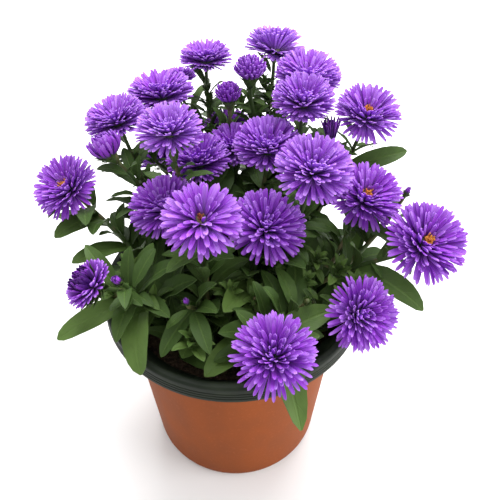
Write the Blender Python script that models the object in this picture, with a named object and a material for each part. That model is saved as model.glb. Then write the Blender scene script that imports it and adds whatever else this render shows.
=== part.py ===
"""Potted aster: a double purple aster in a two-layer nursery pot.

Metres, +Z up. The origin is the centre of the pot's base and -Y is the plant's front.
"""
import math
import random

import bmesh
import bpy
from mathutils import Vector
from mathutils.bvhtree import BVHTree

MM = 0.001
GAP = 0.0003
SEED = 14

# Pot
POT_HEIGHT = 0.122
RIM_RADIUS = 0.070
BODY_TOP_RADIUS = 0.059
BASE_RADIUS = 0.050
BODY_HEIGHT = 0.1098
EDGE_CUT = 0.004
EDGE_SOFTENING = (0.0009, 0.0014)
WALL = 0.0011
SKIRT_HEIGHT = 0.0105
LIP_WIDTH = 0.0038
LIP_THICKNESS = 0.0023
LIP_BEVEL = 0.0013
COLLAR_HEIGHT = 0.0115
POT_SEGMENTS = 30
DRAIN_HOLES = 4
DRAIN_SIDES = 6
DRAIN_CIRCLE = 0.034
DRAIN_RADIUS = 0.0035
DRAIN_CUT = (-0.002, 0.0034)
DRAIN_TURN = math.radians(4.0)

# Soil
SOIL_LEVEL = 0.103
SOIL_SEGMENTS = 15
SOIL_RINGS = (0.020, 0.040)
SOIL_WAVE = 0.0018
SOIL_RIPPLES = (190.0, 330.0)
STEM_DEPTH = 0.020
HOLE_SIDES = 5

# Stems
STEM_RADIUS = 0.0019
BRANCH_RADIUS = 0.0013
TIP_RADIUS = 0.0010
STEM_SIDES = 5
BRANCH_SIDES = 4
STEM_STEPS = 5
BRANCH_STEPS = 3
STEM_RISE = 0.003
PATH_PULL = (0.40, 0.30)
UPRIGHT_START = 2.0
BRANCH_SPREAD = 1.2
CALYX_HEIGHT = 0.0055
CALYX_FOOT = 0.0013
CALYX_SIDES = 5
CALYX_SHARE = 0.12
CUP_CALYX_SHARE = 0.21
STALK_SINK = 0.001
BUD_LINE = ((0.0, -0.30), (0.30, -0.25), (0.50, 0.20), (0.38, 0.75), (0.0, 1.15))
MERGE_DISTANCE = 0.00001

# Leaves: each station is a share of the length and the share of the width there, and each
# way to fit a leaf is a swing and a lift in degrees, and a share of its size.
BLADE_THICKNESS = 0.0010
LEAF_SPACING = 0.0170
LEAF_CROWDING = 0.25
LOW_LEAF = 0.050
HIGH_LEAF = 0.021
LEAF_CLIMB = 0.090
LEAF_WIDTH = 0.29
LEAF_ARCH = 0.06
LEAF_LIFT = (8.0, 42.0)
LEAF_SIZES = (0.85, 1.10)
SHORT_LEAF = 0.031
LEAF_STATIONS = ((0.0, 0.14), (0.34, 0.80), (0.68, 0.92))
SHORT_STATIONS = ((0.0, 0.14), (0.52, 1.0))
LEAF_FOLD = 0.14
LEAF_CLEARANCE = 0.0006
FIRST_LEAF = 0.012
FIRST_SIDE_LEAF = 0.008
BARE_NECK = 0.010
GOLDEN_ANGLE = math.radians(137.5)
LEAF_WAYS = ((0, 0, 1.0), (30, 0, 1.0), (-30, 0, 1.0), (0, 20, 0.9), (60, 0, 0.9), (-60, 0, 0.9),
             (90, 10, 0.8), (-90, 10, 0.8), (0, 35, 0.7), (150, 0, 0.7), (180, 20, 0.6))
LARGE_LEAF_SHIFTS = (0, 3, -3, 6, -6)

# Petals: each way to fit one is a bend in degrees and a share of its length.
PETAL_CLEARANCE = 0.0005
PETAL_SHOULDER = 0.74
PETAL_ROOT = 0.85
PETAL_LIFT = 0.05
PETAL_TURNS = 0.07
PETAL_RISES = 3.0
PETAL_LENGTHS = (0.93, 1.05)
PETAL_WAYS = ((0, 1.0), (8, 1.0), (-6, 0.95), (15, 0.95), (0, 0.8), (12, 0.8), (0, 0.6), (20, 0.6),
              (8, 0.4))

# Blooms: place of the base of the head in mm, width in mm, way it faces as azimuth and
# tilt from upright in degrees, and how many petals each of its three layers holds.
BLOOMS = {
    "bloom_front": (17, -69, 145, 39, -92, 38, 9),
    "bloom_right_low": (59, -42, 141, 34, -60, 38, 9),
    "bloom_right_far": (89, -24, 168, 39, -75, 34, 9),
    "bloom_right_mid": (67, 10, 168, 35, -60, 20, 9),
    "bloom_right_high": (72, 50, 191, 35, -70, 14, 9),
    "bloom_back_right": (38, 49, 199, 31, -90, 10, 7),
    "bloom_back_right_high": (44, 84, 193, 35, -60, 6, 7),
    "bloom_top": (27, 109, 198, 34, -80, 2, 7),
    "bloom_top_left": (-13, 108, 193, 28, 80, 4, 7),
    "bloom_far_left": (-30, 119, 176, 20, 112, 15, 6),
    "bloom_back_left": (-38, 83, 184, 36, 140, 6, 7),
    "bloom_left_high": (-59, 55, 186, 33, 190, 14, 7),
    "bloom_left_mid": (-29, 23, 200, 36, -100, 4, 9),
    "bloom_inner_left": (-17, 43, 167, 30, -110, 6, 6),
    "bloom_inner_mid": (2, 57, 166, 31, -90, 6, 6),
    "bloom_mid": (19, 34, 181, 31, -90, 8, 7),
    "bloom_inner_back": (-1, 92, 155, 30, 95, 8, 6),
    "bloom_mid_right": (38, -1, 193, 36, -60, 8, 9),
    "bloom_centre_left": (-14, -19, 180, 38, -95, 22, 9),
    "bloom_centre": (16, -6, 163, 38, -90, 22, 9),
    "bloom_left_behind": (-33, 11, 162, 37, 195, 14, 9),
    "bloom_left_out": (-82, 20, 171, 34, -140, 28, 7),
    "bloom_low_right_back": (56, 65, 145, 31, 48, 34, 6),
    "bloom_low_back": (27, 90, 140, 29, 74, 38, 6),
    "bloom_low_left_back": (-40, 77, 143, 31, 118, 34, 6),
}
OPEN_EYES = ("bloom_right_high", "bloom_right_far", "bloom_left_out", "bloom_right_mid",
             "bloom_centre_left")
LAYERS = (
    {"rise": 6, "reach": 1.00, "width": 0.180, "swing": 0.0},
    {"rise": 33, "reach": 0.97, "width": 0.165, "swing": 0.5},
    {"rise": 62, "reach": 0.86, "width": 0.120, "swing": 0.1},
)
CORE_SHARE = 0.155
CORE_RINGS = ((0.80, 0.0), (1.0, 0.38), (0.84, 0.86), (0.52, 1.20))
EYE_LINE = ((0.0, 0.0), (0.90, 0.0), (0.81, 0.36), (0.0, 0.72))

# Half-open blooms: place, width, azimuth and tilt.
HALF_BLOOMS = {
    "half_bloom_top": (12, 81, 198, 21, 90, 4),
    "half_bloom_mid": (0, 71, 190, 17, 120, 8),
    "half_bloom_left": (-61, 31, 184, 20, 178, 40),
    "half_bloom_low": (-64, -37, 159, 26, -140, 50),
}
CUP_LAYERS = (
    {"rise": 50, "reach": 1.10, "width": 0.29, "swing": 0.0},
    {"rise": 76, "reach": 1.00, "width": 0.22, "swing": 0.5},
)
CUP_SHARE = 0.26
CUP_RINGS = ((0.85, 0.0), (1.0, 0.60), (0.60, 1.15))
CUP_COLUMNS = 7

# Closed buds: place, width, azimuth and tilt. They are green and grow with their stem.
BUDS = {
    "bud_low": (-52, -37, 162, 7, -120, 30),
    "bud_dark": (52, 38, 190, 8, 20, 12),
    "bud_right": (88, 11, 170, 5, 10, 20),
    "bud_centre": (-22, -43, 153, 5, -90, 20),
    "bud_inner": (34, -40, 148, 5, -60, 25),
}
HEADS = {**BLOOMS, **HALF_BLOOMS, **BUDS}

# Stems: place where each leaves the soil in mm, then what it carries. The first head is at
# the end of the stem itself, and each other head is on a branch that leaves it at that share.
STEMS = {
    "stem_front": ((9, -30), (("bloom_front", 0), ("bud_inner", 0.55))),
    "stem_right_low": ((24, -22), (("bloom_right_low", 0),)),
    "stem_right": ((34, -5), (("bloom_right_far", 0), ("bloom_right_mid", 0.40), ("bud_right", 0.52))),
    "stem_right_high": ((32, 14), (("bloom_right_high", 0), ("bud_dark", 0.60),
                                   ("bloom_low_right_back", 0.30))),
    "stem_back_right": ((23, 30), (("bloom_back_right_high", 0),)),
    "stem_top": ((9, 40), (("bloom_top", 0), ("half_bloom_top", 0.55), ("bloom_low_back", 0.30))),
    "stem_top_left": ((-8, 40), (("bloom_top_left", 0), ("half_bloom_mid", 0.50),
                                 ("bloom_inner_back", 0.30), ("bloom_far_left", 0.55))),
    "stem_back_left": ((-24, 30), (("bloom_back_left", 0), ("bloom_low_left_back", 0.30))),
    "stem_left_high": ((-34, 16), (("bloom_left_high", 0), ("half_bloom_left", 0.55))),
    "stem_left_out": ((-38, 1), (("bloom_left_out", 0),)),
    "stem_left_low": ((-32, -18), (("half_bloom_low", 0), ("bud_low", 0.62))),
    "stem_centre_left": ((-14, -26), (("bloom_centre_left", 0), ("bud_centre", 0.40))),
    "stem_left_behind": ((-20, -2), (("bloom_left_behind", 0),)),
    "stem_left_mid": ((-10, 16), (("bloom_left_mid", 0), ("bloom_inner_left", 0.40))),
    "stem_mid": ((7, 18), (("bloom_mid", 0), ("bloom_inner_mid", 0.35))),
    "stem_mid_right": ((20, 2), (("bloom_mid_right", 0), ("bloom_back_right", 0.45))),
    "stem_centre": ((5, -8), (("bloom_centre", 0),)),
}

# Large leaves that show: stem, share of the way up it, tip in mm, width in mm, way the upper
# face looks, and how far the middle stands above the straight line, in mm.
LARGE_LEAVES = (
    ("stem_left_low", 0.66, (-45, -63, 127), 13, (-0.3, -0.8, 0.5), 4),
    ("stem_left_low", 0.72, (-83, -50, 139), 10, (-0.2, -0.5, 0.9), 3),
    ("stem_left_out", 0.60, (-82, -4, 155), 10, (-0.2, -0.4, 0.9), 3),
    ("stem_left_out", 0.80, (-89, 0, 158), 10, (-0.3, -0.5, 0.8), 4),
    ("stem_right_high", 0.76, (96, 45, 167), 9, (0.1, -0.6, 0.8), 3),
    ("stem_right", 0.60, (92, -38, 139), 12, (0.3, -0.4, 0.9), 4),
    ("stem_front", 0.45, (29, -88, 118), 13, (0.3, -0.6, 0.8), 12),
    ("stem_front", 0.30, (-14, -62, 124), 13, (0.0, -0.3, 0.9), 5),
    ("stem_centre_left", 0.35, (-25, -54, 128), 12, (-0.2, -0.7, 0.7), 4),
    ("stem_centre", 0.55, (-4, -42, 147), 11, (0.0, -0.6, 0.8), 3),
)

# Finishes: colour and roughness.
FINISHES = {
    "terracotta_plastic": ((0.36, 0.12, 0.055), 0.55),
    "dark_plastic": ((0.03, 0.04, 0.028), 0.5),
    "potting_soil": ((0.035, 0.022, 0.014), 0.95),
    "aster_green": ((0.06, 0.12, 0.028), 0.6),
    "aster_purple": ((0.22, 0.055, 0.46), 0.6),
    "eye_yellow": ((0.75, 0.36, 0.03), 0.7),
}


def clear_scene():
    """Take every object, mesh, material and collection out of the scene."""
    for item in list(bpy.data.objects):
        bpy.data.objects.remove(item, do_unlink=True)
    for store in (bpy.data.meshes, bpy.data.materials, bpy.data.collections):
        for item in list(store):
            store.remove(item)


def make_material(name):
    """One plain finish, from its colour and roughness."""
    colour, roughness = FINISHES[name]
    material = bpy.data.materials.new(name)
    material.use_nodes = True
    shader = material.node_tree.nodes["Principled BSDF"]
    shader.inputs["Base Color"].default_value = (*colour, 1.0)
    shader.inputs["Roughness"].default_value = roughness
    shader.inputs["Metallic"].default_value = 0.0
    material.diffuse_color = (*colour, 1.0)
    return material


def make_object(name, shape, material=None):
    """Link an object that holds a closed shape, given as its points and faces."""
    points, faces = shape
    mesh = bpy.data.meshes.new(name)
    mesh.from_pydata([tuple(point) for point in points], [], faces)
    item = bpy.data.objects.new(name, mesh)
    bpy.context.scene.collection.objects.link(item)
    if material is not None:
        mesh.materials.append(material)
    face_outward(mesh)
    return item


def face_outward(mesh):
    work = bmesh.new()
    work.from_mesh(mesh)
    bmesh.ops.recalc_face_normals(work, faces=work.faces)
    work.to_mesh(mesh)
    work.free()


def shade_round(item, angle):
    item.data.shade_smooth()
    item.data.set_sharp_from_angle(angle=math.radians(angle))


def connected_bodies(work):
    """Groups of points that edges join, largest first."""
    seen = set()
    bodies = []
    for start in work.verts:
        if start in seen:
            continue
        seen.add(start)
        body = [start]
        for point in body:
            for edge in point.link_edges:
                other = edge.other_vert(point)
                if other not in seen:
                    seen.add(other)
                    body.append(other)
        bodies.append(body)
    return sorted(bodies, key=len, reverse=True)


def keep_main_body(mesh):
    """Drop loose scraps, sealed hollows and specks, so that one closed body is left."""
    work = bmesh.new()
    work.from_mesh(mesh)
    scraps = [point for body in connected_bodies(work)[1:] for point in body]
    bmesh.ops.delete(work, geom=scraps, context="VERTS")
    bmesh.ops.triangulate(work, faces=work.faces)
    work.to_mesh(mesh)
    bmesh.ops.dissolve_degenerate(work, dist=MERGE_DISTANCE, edges=work.edges)
    bmesh.ops.triangulate(work, faces=work.faces)
    if all(edge.is_manifold for edge in work.edges):
        work.to_mesh(mesh)
    work.free()


def apply_boolean(item, others, operation):
    """Join the other objects to an item, or cut them from it, and remove them."""
    group = bpy.data.collections.new(item.name + "_parts")
    bpy.context.scene.collection.children.link(group)
    for other in others:
        bpy.context.scene.collection.objects.unlink(other)
        group.objects.link(other)
    step = item.modifiers.new("Join", "BOOLEAN")
    step.operation = operation
    step.operand_type = "COLLECTION"
    step.collection = group
    step.solver = "EXACT"
    graph = bpy.context.evaluated_depsgraph_get()
    result = bpy.data.meshes.new_from_object(item.evaluated_get(graph))
    item.modifiers.clear()
    item.data = result
    for other in others:
        bpy.data.objects.remove(other, do_unlink=True)
    bpy.data.collections.remove(group)
    keep_main_body(item.data)


def fuse(name, shapes, material):
    """Make one body of many closed shapes."""
    pieces = [make_object(f"{name}_{number}", shape, material) for number, shape in enumerate(shapes)]
    body = pieces[0]
    body.name = name
    apply_boolean(body, pieces[1:], "UNION")
    return body


def turned(profile, segments):
    """Turn an outline of (radius, height) pairs about Z; its two ends lie on the axis."""
    points = []
    rings = []
    for radius, height in profile:
        if radius == 0.0:
            rings.append([len(points)])
            points.append(Vector((0.0, 0.0, height)))
            continue
        rings.append(list(range(len(points), len(points) + segments)))
        for step in range(segments):
            angle = math.tau * step / segments
            points.append(Vector((radius * math.cos(angle), radius * math.sin(angle), height)))
    faces = []
    for lower, upper in zip(rings, rings[1:]):
        faces.extend(bridge(lower, upper))
    return points, faces


def bridge(lower, upper):
    """Faces between two rings, either of which may be a single point."""
    count = max(len(lower), len(upper))
    faces = []
    for step in range(count):
        after = (step + 1) % count
        if len(lower) == 1:
            faces.append((lower[0], upper[step], upper[after]))
        elif len(upper) == 1:
            faces.append((lower[step], lower[after], upper[0]))
        else:
            faces.append((lower[step], lower[after], upper[after]))
            faces.append((lower[step], upper[after], upper[step]))
    return faces


def disc_prism(centre, radius, bottom, top, sides):
    """A plain upright cutter."""
    points = []
    for height in (bottom, top):
        for step in range(sides):
            angle = math.tau * step / sides
            points.append(Vector((centre[0] + radius * math.cos(angle),
                                  centre[1] + radius * math.sin(angle), height)))
    faces = bridge(list(range(sides)), list(range(sides, 2 * sides)))
    faces.append(tuple(range(sides)))
    faces.append(tuple(range(sides, 2 * sides)))
    return points, faces


# Pot
def wall_radius(height, inset):
    """Radius of the tapered wall at a height, less an inset."""
    share = height / BODY_HEIGHT
    return BASE_RADIUS + (BODY_TOP_RADIUS - BASE_RADIUS) * share - inset


def cup_line(inset, floor, top):
    """The floor, edge and wall of one side of a pot layer, from the axis upward."""
    return [
        (0.0, floor),
        (BASE_RADIUS - inset - EDGE_CUT, floor),
        (wall_radius(floor + EDGE_CUT, inset), floor + EDGE_CUT),
        (wall_radius(top, inset), top),
    ]


def drain_cutters():
    """Cutters for a ring of drain holes through both floors."""
    cutters = []
    for number in range(DRAIN_HOLES):
        angle = math.tau * number / DRAIN_HOLES + DRAIN_TURN
        centre = (DRAIN_CIRCLE * math.cos(angle), DRAIN_CIRCLE * math.sin(angle))
        shape = disc_prism(centre, DRAIN_RADIUS, *DRAIN_CUT, DRAIN_SIDES)
        cutters.append(make_object(f"drain_{number}", shape))
    return cutters


def make_pot(material):
    """The terracotta-coloured outer layer, with a softened lower edge."""
    outside = cup_line(0.0, 0.0, BODY_HEIGHT)
    outside.insert(2, (BASE_RADIUS - EDGE_SOFTENING[0], EDGE_SOFTENING[1]))
    inside = cup_line(WALL, WALL, BODY_HEIGHT)
    pot = make_object("pot", turned(outside + inside[::-1], POT_SEGMENTS), material)
    apply_boolean(pot, drain_cutters(), "DIFFERENCE")
    shade_round(pot, 35)
    return pot


def make_lining(material):
    """The dark inner layer, which widens to a collar, turns over the lip and ends in a skirt."""
    outset = WALL + GAP
    collar_foot = POT_HEIGHT - COLLAR_HEIGHT
    under_lip = POT_HEIGHT - LIP_THICKNESS
    skirt_foot = POT_HEIGHT - SKIRT_HEIGHT
    outside = cup_line(outset, outset, collar_foot)
    outside += [
        (RIM_RADIUS - LIP_WIDTH, under_lip),
        (RIM_RADIUS - WALL, under_lip),
        (RIM_RADIUS - WALL, skirt_foot),
        (RIM_RADIUS, skirt_foot),
        (RIM_RADIUS, POT_HEIGHT - LIP_BEVEL),
        (RIM_RADIUS - LIP_BEVEL, POT_HEIGHT),
        (RIM_RADIUS - LIP_WIDTH, POT_HEIGHT),
    ]
    inset = outset + WALL
    inside = cup_line(inset, inset, collar_foot)
    lining = make_object("pot_lining", turned(outside + inside[::-1], POT_SEGMENTS), material)
    apply_boolean(lining, drain_cutters(), "DIFFERENCE")
    shade_round(lining, 35)
    return lining


# Soil
def soil_height(x, y):
    """Height of the soil's gently uneven top."""
    broad, fine = SOIL_RIPPLES
    wave = math.sin(x * broad) * math.cos(y * broad) + 0.6 * math.sin((x + y) * fine)
    return SOIL_LEVEL + SOIL_WAVE * wave


def soil_shape():
    """What fills the lining, with rings across its top that follow the ripples."""
    inset = WALL * 2 + GAP * 2
    outline = cup_line(inset, inset, SOIL_LEVEL)
    outline += [(radius, SOIL_LEVEL) for radius in SOIL_RINGS[::-1]]
    outline.append((0.0, SOIL_LEVEL))
    points, faces = turned(outline, SOIL_SEGMENTS)
    for point in points:
        if point.z > SOIL_LEVEL - MM:
            point.z = soil_height(point.x, point.y)
    return points, faces


def make_soil(material):
    """Potting soil with a plain hole for each stem."""
    soil = make_object("soil", soil_shape(), material)
    radius = (STEM_RADIUS + GAP) / math.cos(math.pi / HOLE_SIDES)
    bottom = SOIL_LEVEL - STEM_DEPTH - GAP
    top = SOIL_LEVEL + 3.0 * SOIL_WAVE
    cutters = []
    for name in STEMS:
        x, y = STEMS[name][0]
        shape = disc_prism((x * MM, y * MM), radius, bottom, top, HOLE_SIDES)
        cutters.append(make_object(name + "_hole", shape))
    apply_boolean(soil, cutters, "DIFFERENCE")
    return soil


# Heads
def head_place(name):
    return Vector(HEADS[name][:3]) * MM


def head_width(name):
    return HEADS[name][3] * MM


def head_axis(name):
    """The way a head faces."""
    turn = math.radians(HEADS[name][4])
    lean = math.radians(HEADS[name][5])
    return Vector((math.cos(turn) * math.sin(lean), math.sin(turn) * math.sin(lean), math.cos(lean)))


def at_head(shape, name):
    """Move a shape that is modelled upright at the origin to where a head stands."""
    turn = head_axis(name).to_track_quat("Z", "Y").to_matrix()
    place = head_place(name)
    points, faces = shape
    return [turn @ point + place for point in points], faces


def core_rings(rings, core, columns):
    """Rings of points round the core of a head that stands upright at the origin."""
    result = []
    for radius, height in rings:
        ring = []
        for step in range(columns):
            angle = math.tau * step / columns
            ring.append(Vector((radius * math.cos(angle), radius * math.sin(angle), height)) * core)
        result.append(ring)
    return result


def core_shape(rings, core, columns):
    """The closed core alone."""
    outline = [(0.0, rings[0][1] * core)]
    outline += [(radius * core, height * core) for radius, height in rings]
    outline.append((0.0, rings[-1][1] * core))
    return turned(outline, columns)


def petal_points(corners, layer, width, turn, rise, stretch, extra=0.0):
    """The four shoulder points and the tip of a petal that grows from one facet of the core.

    Extra is how much fatter the petal is made to test that it stays clear.
    """
    lift = math.radians(rise)
    out = Vector((math.cos(turn), math.sin(turn), 0.0))
    side = Vector((-math.sin(turn), math.cos(turn), 0.0))
    way = out * math.cos(lift) + Vector((0.0, 0.0, math.sin(lift)))
    above = Vector((0.0, 0.0, math.cos(lift))) - out * math.sin(lift)
    root = sum(corners, Vector()) / 4
    length = (width * 0.5 * layer["reach"] - root.length * PETAL_ROOT) * stretch
    shoulder = root + way * (length * PETAL_SHOULDER)
    half = side * (layer["width"] * width / 2 + extra)
    thick = above * (BLADE_THICKNESS / 2 + extra)
    points = [shoulder - half - thick, shoulder + half - thick]
    points += [shoulder + half + thick, shoulder - half + thick]
    points.append(root + way * (length + extra) + above * (length * PETAL_LIFT))
    return points


def petal_faces(foot, top, tip):
    """Sides of a petal from its facet's corners to its shoulder, and on to its tip."""
    return bridge(foot, top) + bridge(top, [tip])


def fitting_petal(corners, layer, turn, rise, stretch, name, crowd):
    """The petal as it grows freely, or bent or shortened to clear a neighbour."""
    width = head_width(name)
    faces = petal_faces([0, 1, 2, 3], [4, 5, 6, 7], 8)
    for bend, trim in PETAL_WAYS:
        grown = petal_points(corners, layer, width, turn, rise + bend, stretch * trim, PETAL_CLEARANCE)
        if not crowd.is_clear(at_head((corners + grown, faces), name), name):
            continue
        points = petal_points(corners, layer, width, turn, rise + bend, stretch * trim)
        crowd.add(at_head((corners + points, faces), name), name)
        return points
    return None


def head_shape(name, rings, core, columns, layers, crowd, draw):
    """A head in one skin: every facet round its core is drawn out into a petal."""
    ring_points = core_rings(rings, core, columns)
    points = [point for ring in ring_points for point in ring]
    faces = [tuple(reversed(range(columns)))]
    faces.append(tuple(range((len(rings) - 1) * columns, len(rings) * columns)))
    for row, layer in enumerate(layers):
        for step in range(columns):
            after = (step + 1) % columns
            foot = [row * columns + step, row * columns + after, (row + 1) * columns + after,
                    (row + 1) * columns + step]
            swing = layer["swing"] + draw.uniform(-PETAL_TURNS, PETAL_TURNS)
            turn = math.tau * (step + 0.5 + swing) / columns
            rise = layer["rise"] + draw.uniform(-PETAL_RISES, PETAL_RISES)
            stretch = draw.uniform(*PETAL_LENGTHS)
            corners = [points[corner] for corner in foot]
            grown = fitting_petal(corners, layer, turn, rise, stretch, name, crowd)
            if grown is None:
                faces.append(tuple(foot))
                continue
            first = len(points)
            points.extend(grown)
            faces.extend(petal_faces(foot, [first, first + 1, first + 2, first + 3], first + 4))
    return points, faces


def eye_shape(core, columns):
    """The yellow eye, a low dome that rests on the flat top of the core."""
    top_radius = CORE_RINGS[-1][0] * core
    foot = CORE_RINGS[-1][1] * core + GAP
    outline = [(radius * top_radius, foot + height * top_radius) for radius, height in EYE_LINE]
    return turned(outline, columns)


def stand(item, name):
    """Place an object that is modelled upright at the origin where a head stands."""
    item.location = head_place(name)
    item.rotation_mode = "QUATERNION"
    item.rotation_quaternion = head_axis(name).to_track_quat("Z", "Y")


def make_bloom(name, crowd, material, eye_material):
    draw = random.Random(f"{SEED} {name}")
    core = head_width(name) * CORE_SHARE
    columns = BLOOMS[name][6]
    shape = head_shape(name, CORE_RINGS, core, columns, LAYERS, crowd, draw)
    stand(make_object(name, shape, material), name)
    if name in OPEN_EYES:
        eye = make_object(name.replace("bloom", "eye"), eye_shape(core, columns), eye_material)
        stand(eye, name)


def make_half_bloom(name, crowd, material):
    draw = random.Random(f"{SEED} {name}")
    core = head_width(name) * CUP_SHARE
    shape = head_shape(name, CUP_RINGS, core, CUP_COLUMNS, CUP_LAYERS, crowd, draw)
    stand(make_object(name, shape, material), name)


# Stems
def bezier(start, start_way, end, end_way, count):
    """Points on a smooth path that leaves one end and reaches the other along given ways."""
    span = (end - start).length
    first = start + start_way * (span * PATH_PULL[0])
    last = end - end_way * (span * PATH_PULL[1])
    points = []
    for step in range(count + 1):
        t = step / count
        u = 1.0 - t
        points.append(start * u ** 3 + first * (3 * u * u * t) + last * (3 * u * t * t) + end * t ** 3)
    return points


def along(points, share):
    """Point and direction at a share of a path's length."""
    lengths = [(after - before).length for before, after in zip(points, points[1:])]
    left = share * sum(lengths)
    for number, length in enumerate(lengths):
        if left <= length or number == len(lengths) - 1:
            way = (points[number + 1] - points[number]).normalized()
            return points[number] + way * left, way
        left -= length
    raise ValueError("share is past the path's end")


def tube(points, radii, sides):
    """A closed tube along a path, with its rings turned as little as the path allows."""
    way = (points[1] - points[0]).normalized()
    side = way.orthogonal().normalized()
    corners = []
    rings = []
    for number, point in enumerate(points):
        before = points[max(number - 1, 0)]
        after = points[min(number + 1, len(points) - 1)]
        way = (after - before).normalized()
        side = (side - way * side.dot(way)).normalized()
        other = way.cross(side)
        rings.append(list(range(len(corners), len(corners) + sides)))
        for step in range(sides):
            angle = math.tau * step / sides
            spoke = side * math.cos(angle) + other * math.sin(angle)
            corners.append(point + spoke * radii[number])
    faces = []
    for lower, upper in zip(rings, rings[1:]):
        faces.extend(bridge(lower, upper))
    faces.append(tuple(rings[0]))
    faces.append(tuple(rings[-1]))
    return corners, faces


def calyx_shape(wide):
    """The green cup under a head, from the end of the stalk to the head's flat base."""
    outline = ((0.0, -CALYX_HEIGHT), (CALYX_FOOT, -CALYX_HEIGHT), (wide, -GAP), (0.0, -GAP))
    return turned(outline, CALYX_SIDES)


def bud_shape(width):
    """A closed green bud, round below and pointed above."""
    return turned([(radius * width, height * width) for radius, height in BUD_LINE], CALYX_SIDES)


def head_foot(name):
    """Where the stalk ends under a head."""
    if name in BUDS:
        return head_place(name)
    return head_place(name) - head_axis(name) * (CALYX_HEIGHT - STALK_SINK)


def head_support(name):
    """The green cup under a head, or the whole bud."""
    if name in BUDS:
        return at_head(bud_shape(head_width(name)), name)
    share = CUP_CALYX_SHARE if name in HALF_BLOOMS else CALYX_SHARE
    return at_head(calyx_shape(share * head_width(name)), name)


def tapered(radius, steps):
    """Radii from a given one down to a stalk's tip."""
    slimmer = (TIP_RADIUS - radius) / steps
    return [radius + slimmer * step for step in range(steps + 1)]


def stem_paths(name):
    """The path of a stem and of each of its branches, as points and radii."""
    (x, y), heads = STEMS[name]
    ground = Vector((x * MM, y * MM, SOIL_LEVEL + STEM_RISE))
    sunk = Vector((x * MM, y * MM, SOIL_LEVEL - STEM_DEPTH))
    first_head = heads[0][0]
    end = head_foot(first_head)
    lean = (Vector((0.0, 0.0, UPRIGHT_START)) + (end - ground).normalized()).normalized()
    stalk = [sunk] + bezier(ground, lean, end, head_axis(first_head), STEM_STEPS)
    paths = [(stalk, [STEM_RADIUS] + tapered(STEM_RADIUS, STEM_STEPS))]
    for head, share in heads[1:]:
        start, way = along(stalk, share)
        end = head_foot(head)
        leave = (way + (end - start).normalized() * BRANCH_SPREAD).normalized()
        branch = bezier(start, leave, end, head_axis(head), BRANCH_STEPS)
        paths.append((branch, tapered(BRANCH_RADIUS, BRANCH_STEPS)))
    return paths


def stem_shapes(name, paths):
    """Stalk, branches, cups and buds of one stem."""
    shapes = [tube(*paths[0], STEM_SIDES)]
    shapes += [tube(points, radii, BRANCH_SIDES) for points, radii in paths[1:]]
    shapes += [head_support(head) for head, share in STEMS[name][1]]
    return shapes


# Leaves
def leaf_shape(root, tip, width, face, rise, folded, extra=0.0):
    """A lance-shaped blade, from inside the stem to its tip, folded along its midrib if large.

    Extra is how much fatter the blade is made to test that it stays clear.
    """
    run = tip - root
    way = run.normalized()
    side = way.cross(face).normalized()
    above = side.cross(way).normalized()
    points = []
    stations = LEAF_STATIONS if run.length > SHORT_LEAF else SHORT_STATIONS
    for share, part in stations:
        middle = root + run * share + above * (rise * 4.0 * share * (1.0 - share))
        half = width * part / 2 + extra
        fold = width * part * LEAF_FOLD if folded else 0.0
        points.append(middle + side * half + above * (fold + extra))
        if folded:
            points.append(middle + above * extra)
        points.append(middle - side * half + above * (fold + extra))
        points.append(middle - above * (BLADE_THICKNESS + extra))
    points.append(tip + way * extra)
    count = 4 if folded else 3
    rings = [list(range(start, start + count)) for start in range(0, len(points) - 1, count)]
    rings.append([len(points) - 1])
    faces = []
    for lower, upper in zip(rings, rings[1:]):
        faces.extend(bridge(lower, upper))
    faces.append((0, 1, count - 1))
    if folded:
        faces.append((1, 2, 3))
    return points, faces


def try_leaf(stem, root, tip, width, face, rise, folded, crowd):
    """Give the leaf if nothing stands in its way."""
    grown = leaf_shape(root, tip, width, face, rise, folded, LEAF_CLEARANCE)
    if not crowd.is_clear(grown, stem):
        return None
    leaf = leaf_shape(root, tip, width, face, rise, folded)
    crowd.add(leaf, stem + "_leaf")
    return leaf


def large_leaves(stem, paths, crowd):
    """The leaves of a stem that are placed by hand."""
    leaves = []
    main_path = paths[0][0]
    for owner, share, tip, width, face, rise in LARGE_LEAVES:
        if owner != stem:
            continue
        root = along(main_path, share)[0]
        for shift in LARGE_LEAF_SHIFTS:
            end = Vector((tip[0], tip[1], tip[2] + shift)) * MM
            leaf = try_leaf(stem, root, end, width * MM, Vector(face), rise * MM, True, crowd)
            if leaf:
                leaves.append(leaf)
                break
    return leaves


def leaves_along(stem, path, crowd, draw, first):
    """Leaves in a spiral up one path, long below and short near the head."""
    leaves = []
    total = sum((after - before).length for before, after in zip(path, path[1:]))
    travelled = first
    turn = draw.uniform(0.0, math.tau)
    while travelled < total - BARE_NECK:
        share = travelled / total
        root, way = along(path, share)
        high = min(max((root.z - SOIL_LEVEL) / LEAF_CLIMB, 0.0), 1.0)
        length = (LOW_LEAF - (LOW_LEAF - HIGH_LEAF) * high) * draw.uniform(*LEAF_SIZES)
        leaf = spiral_leaf(stem, root, way, length, turn, crowd, draw)
        if leaf:
            leaves.append(leaf)
        turn += GOLDEN_ANGLE
        travelled += LEAF_SPACING * (1.0 - LEAF_CROWDING * share)
    return leaves


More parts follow.
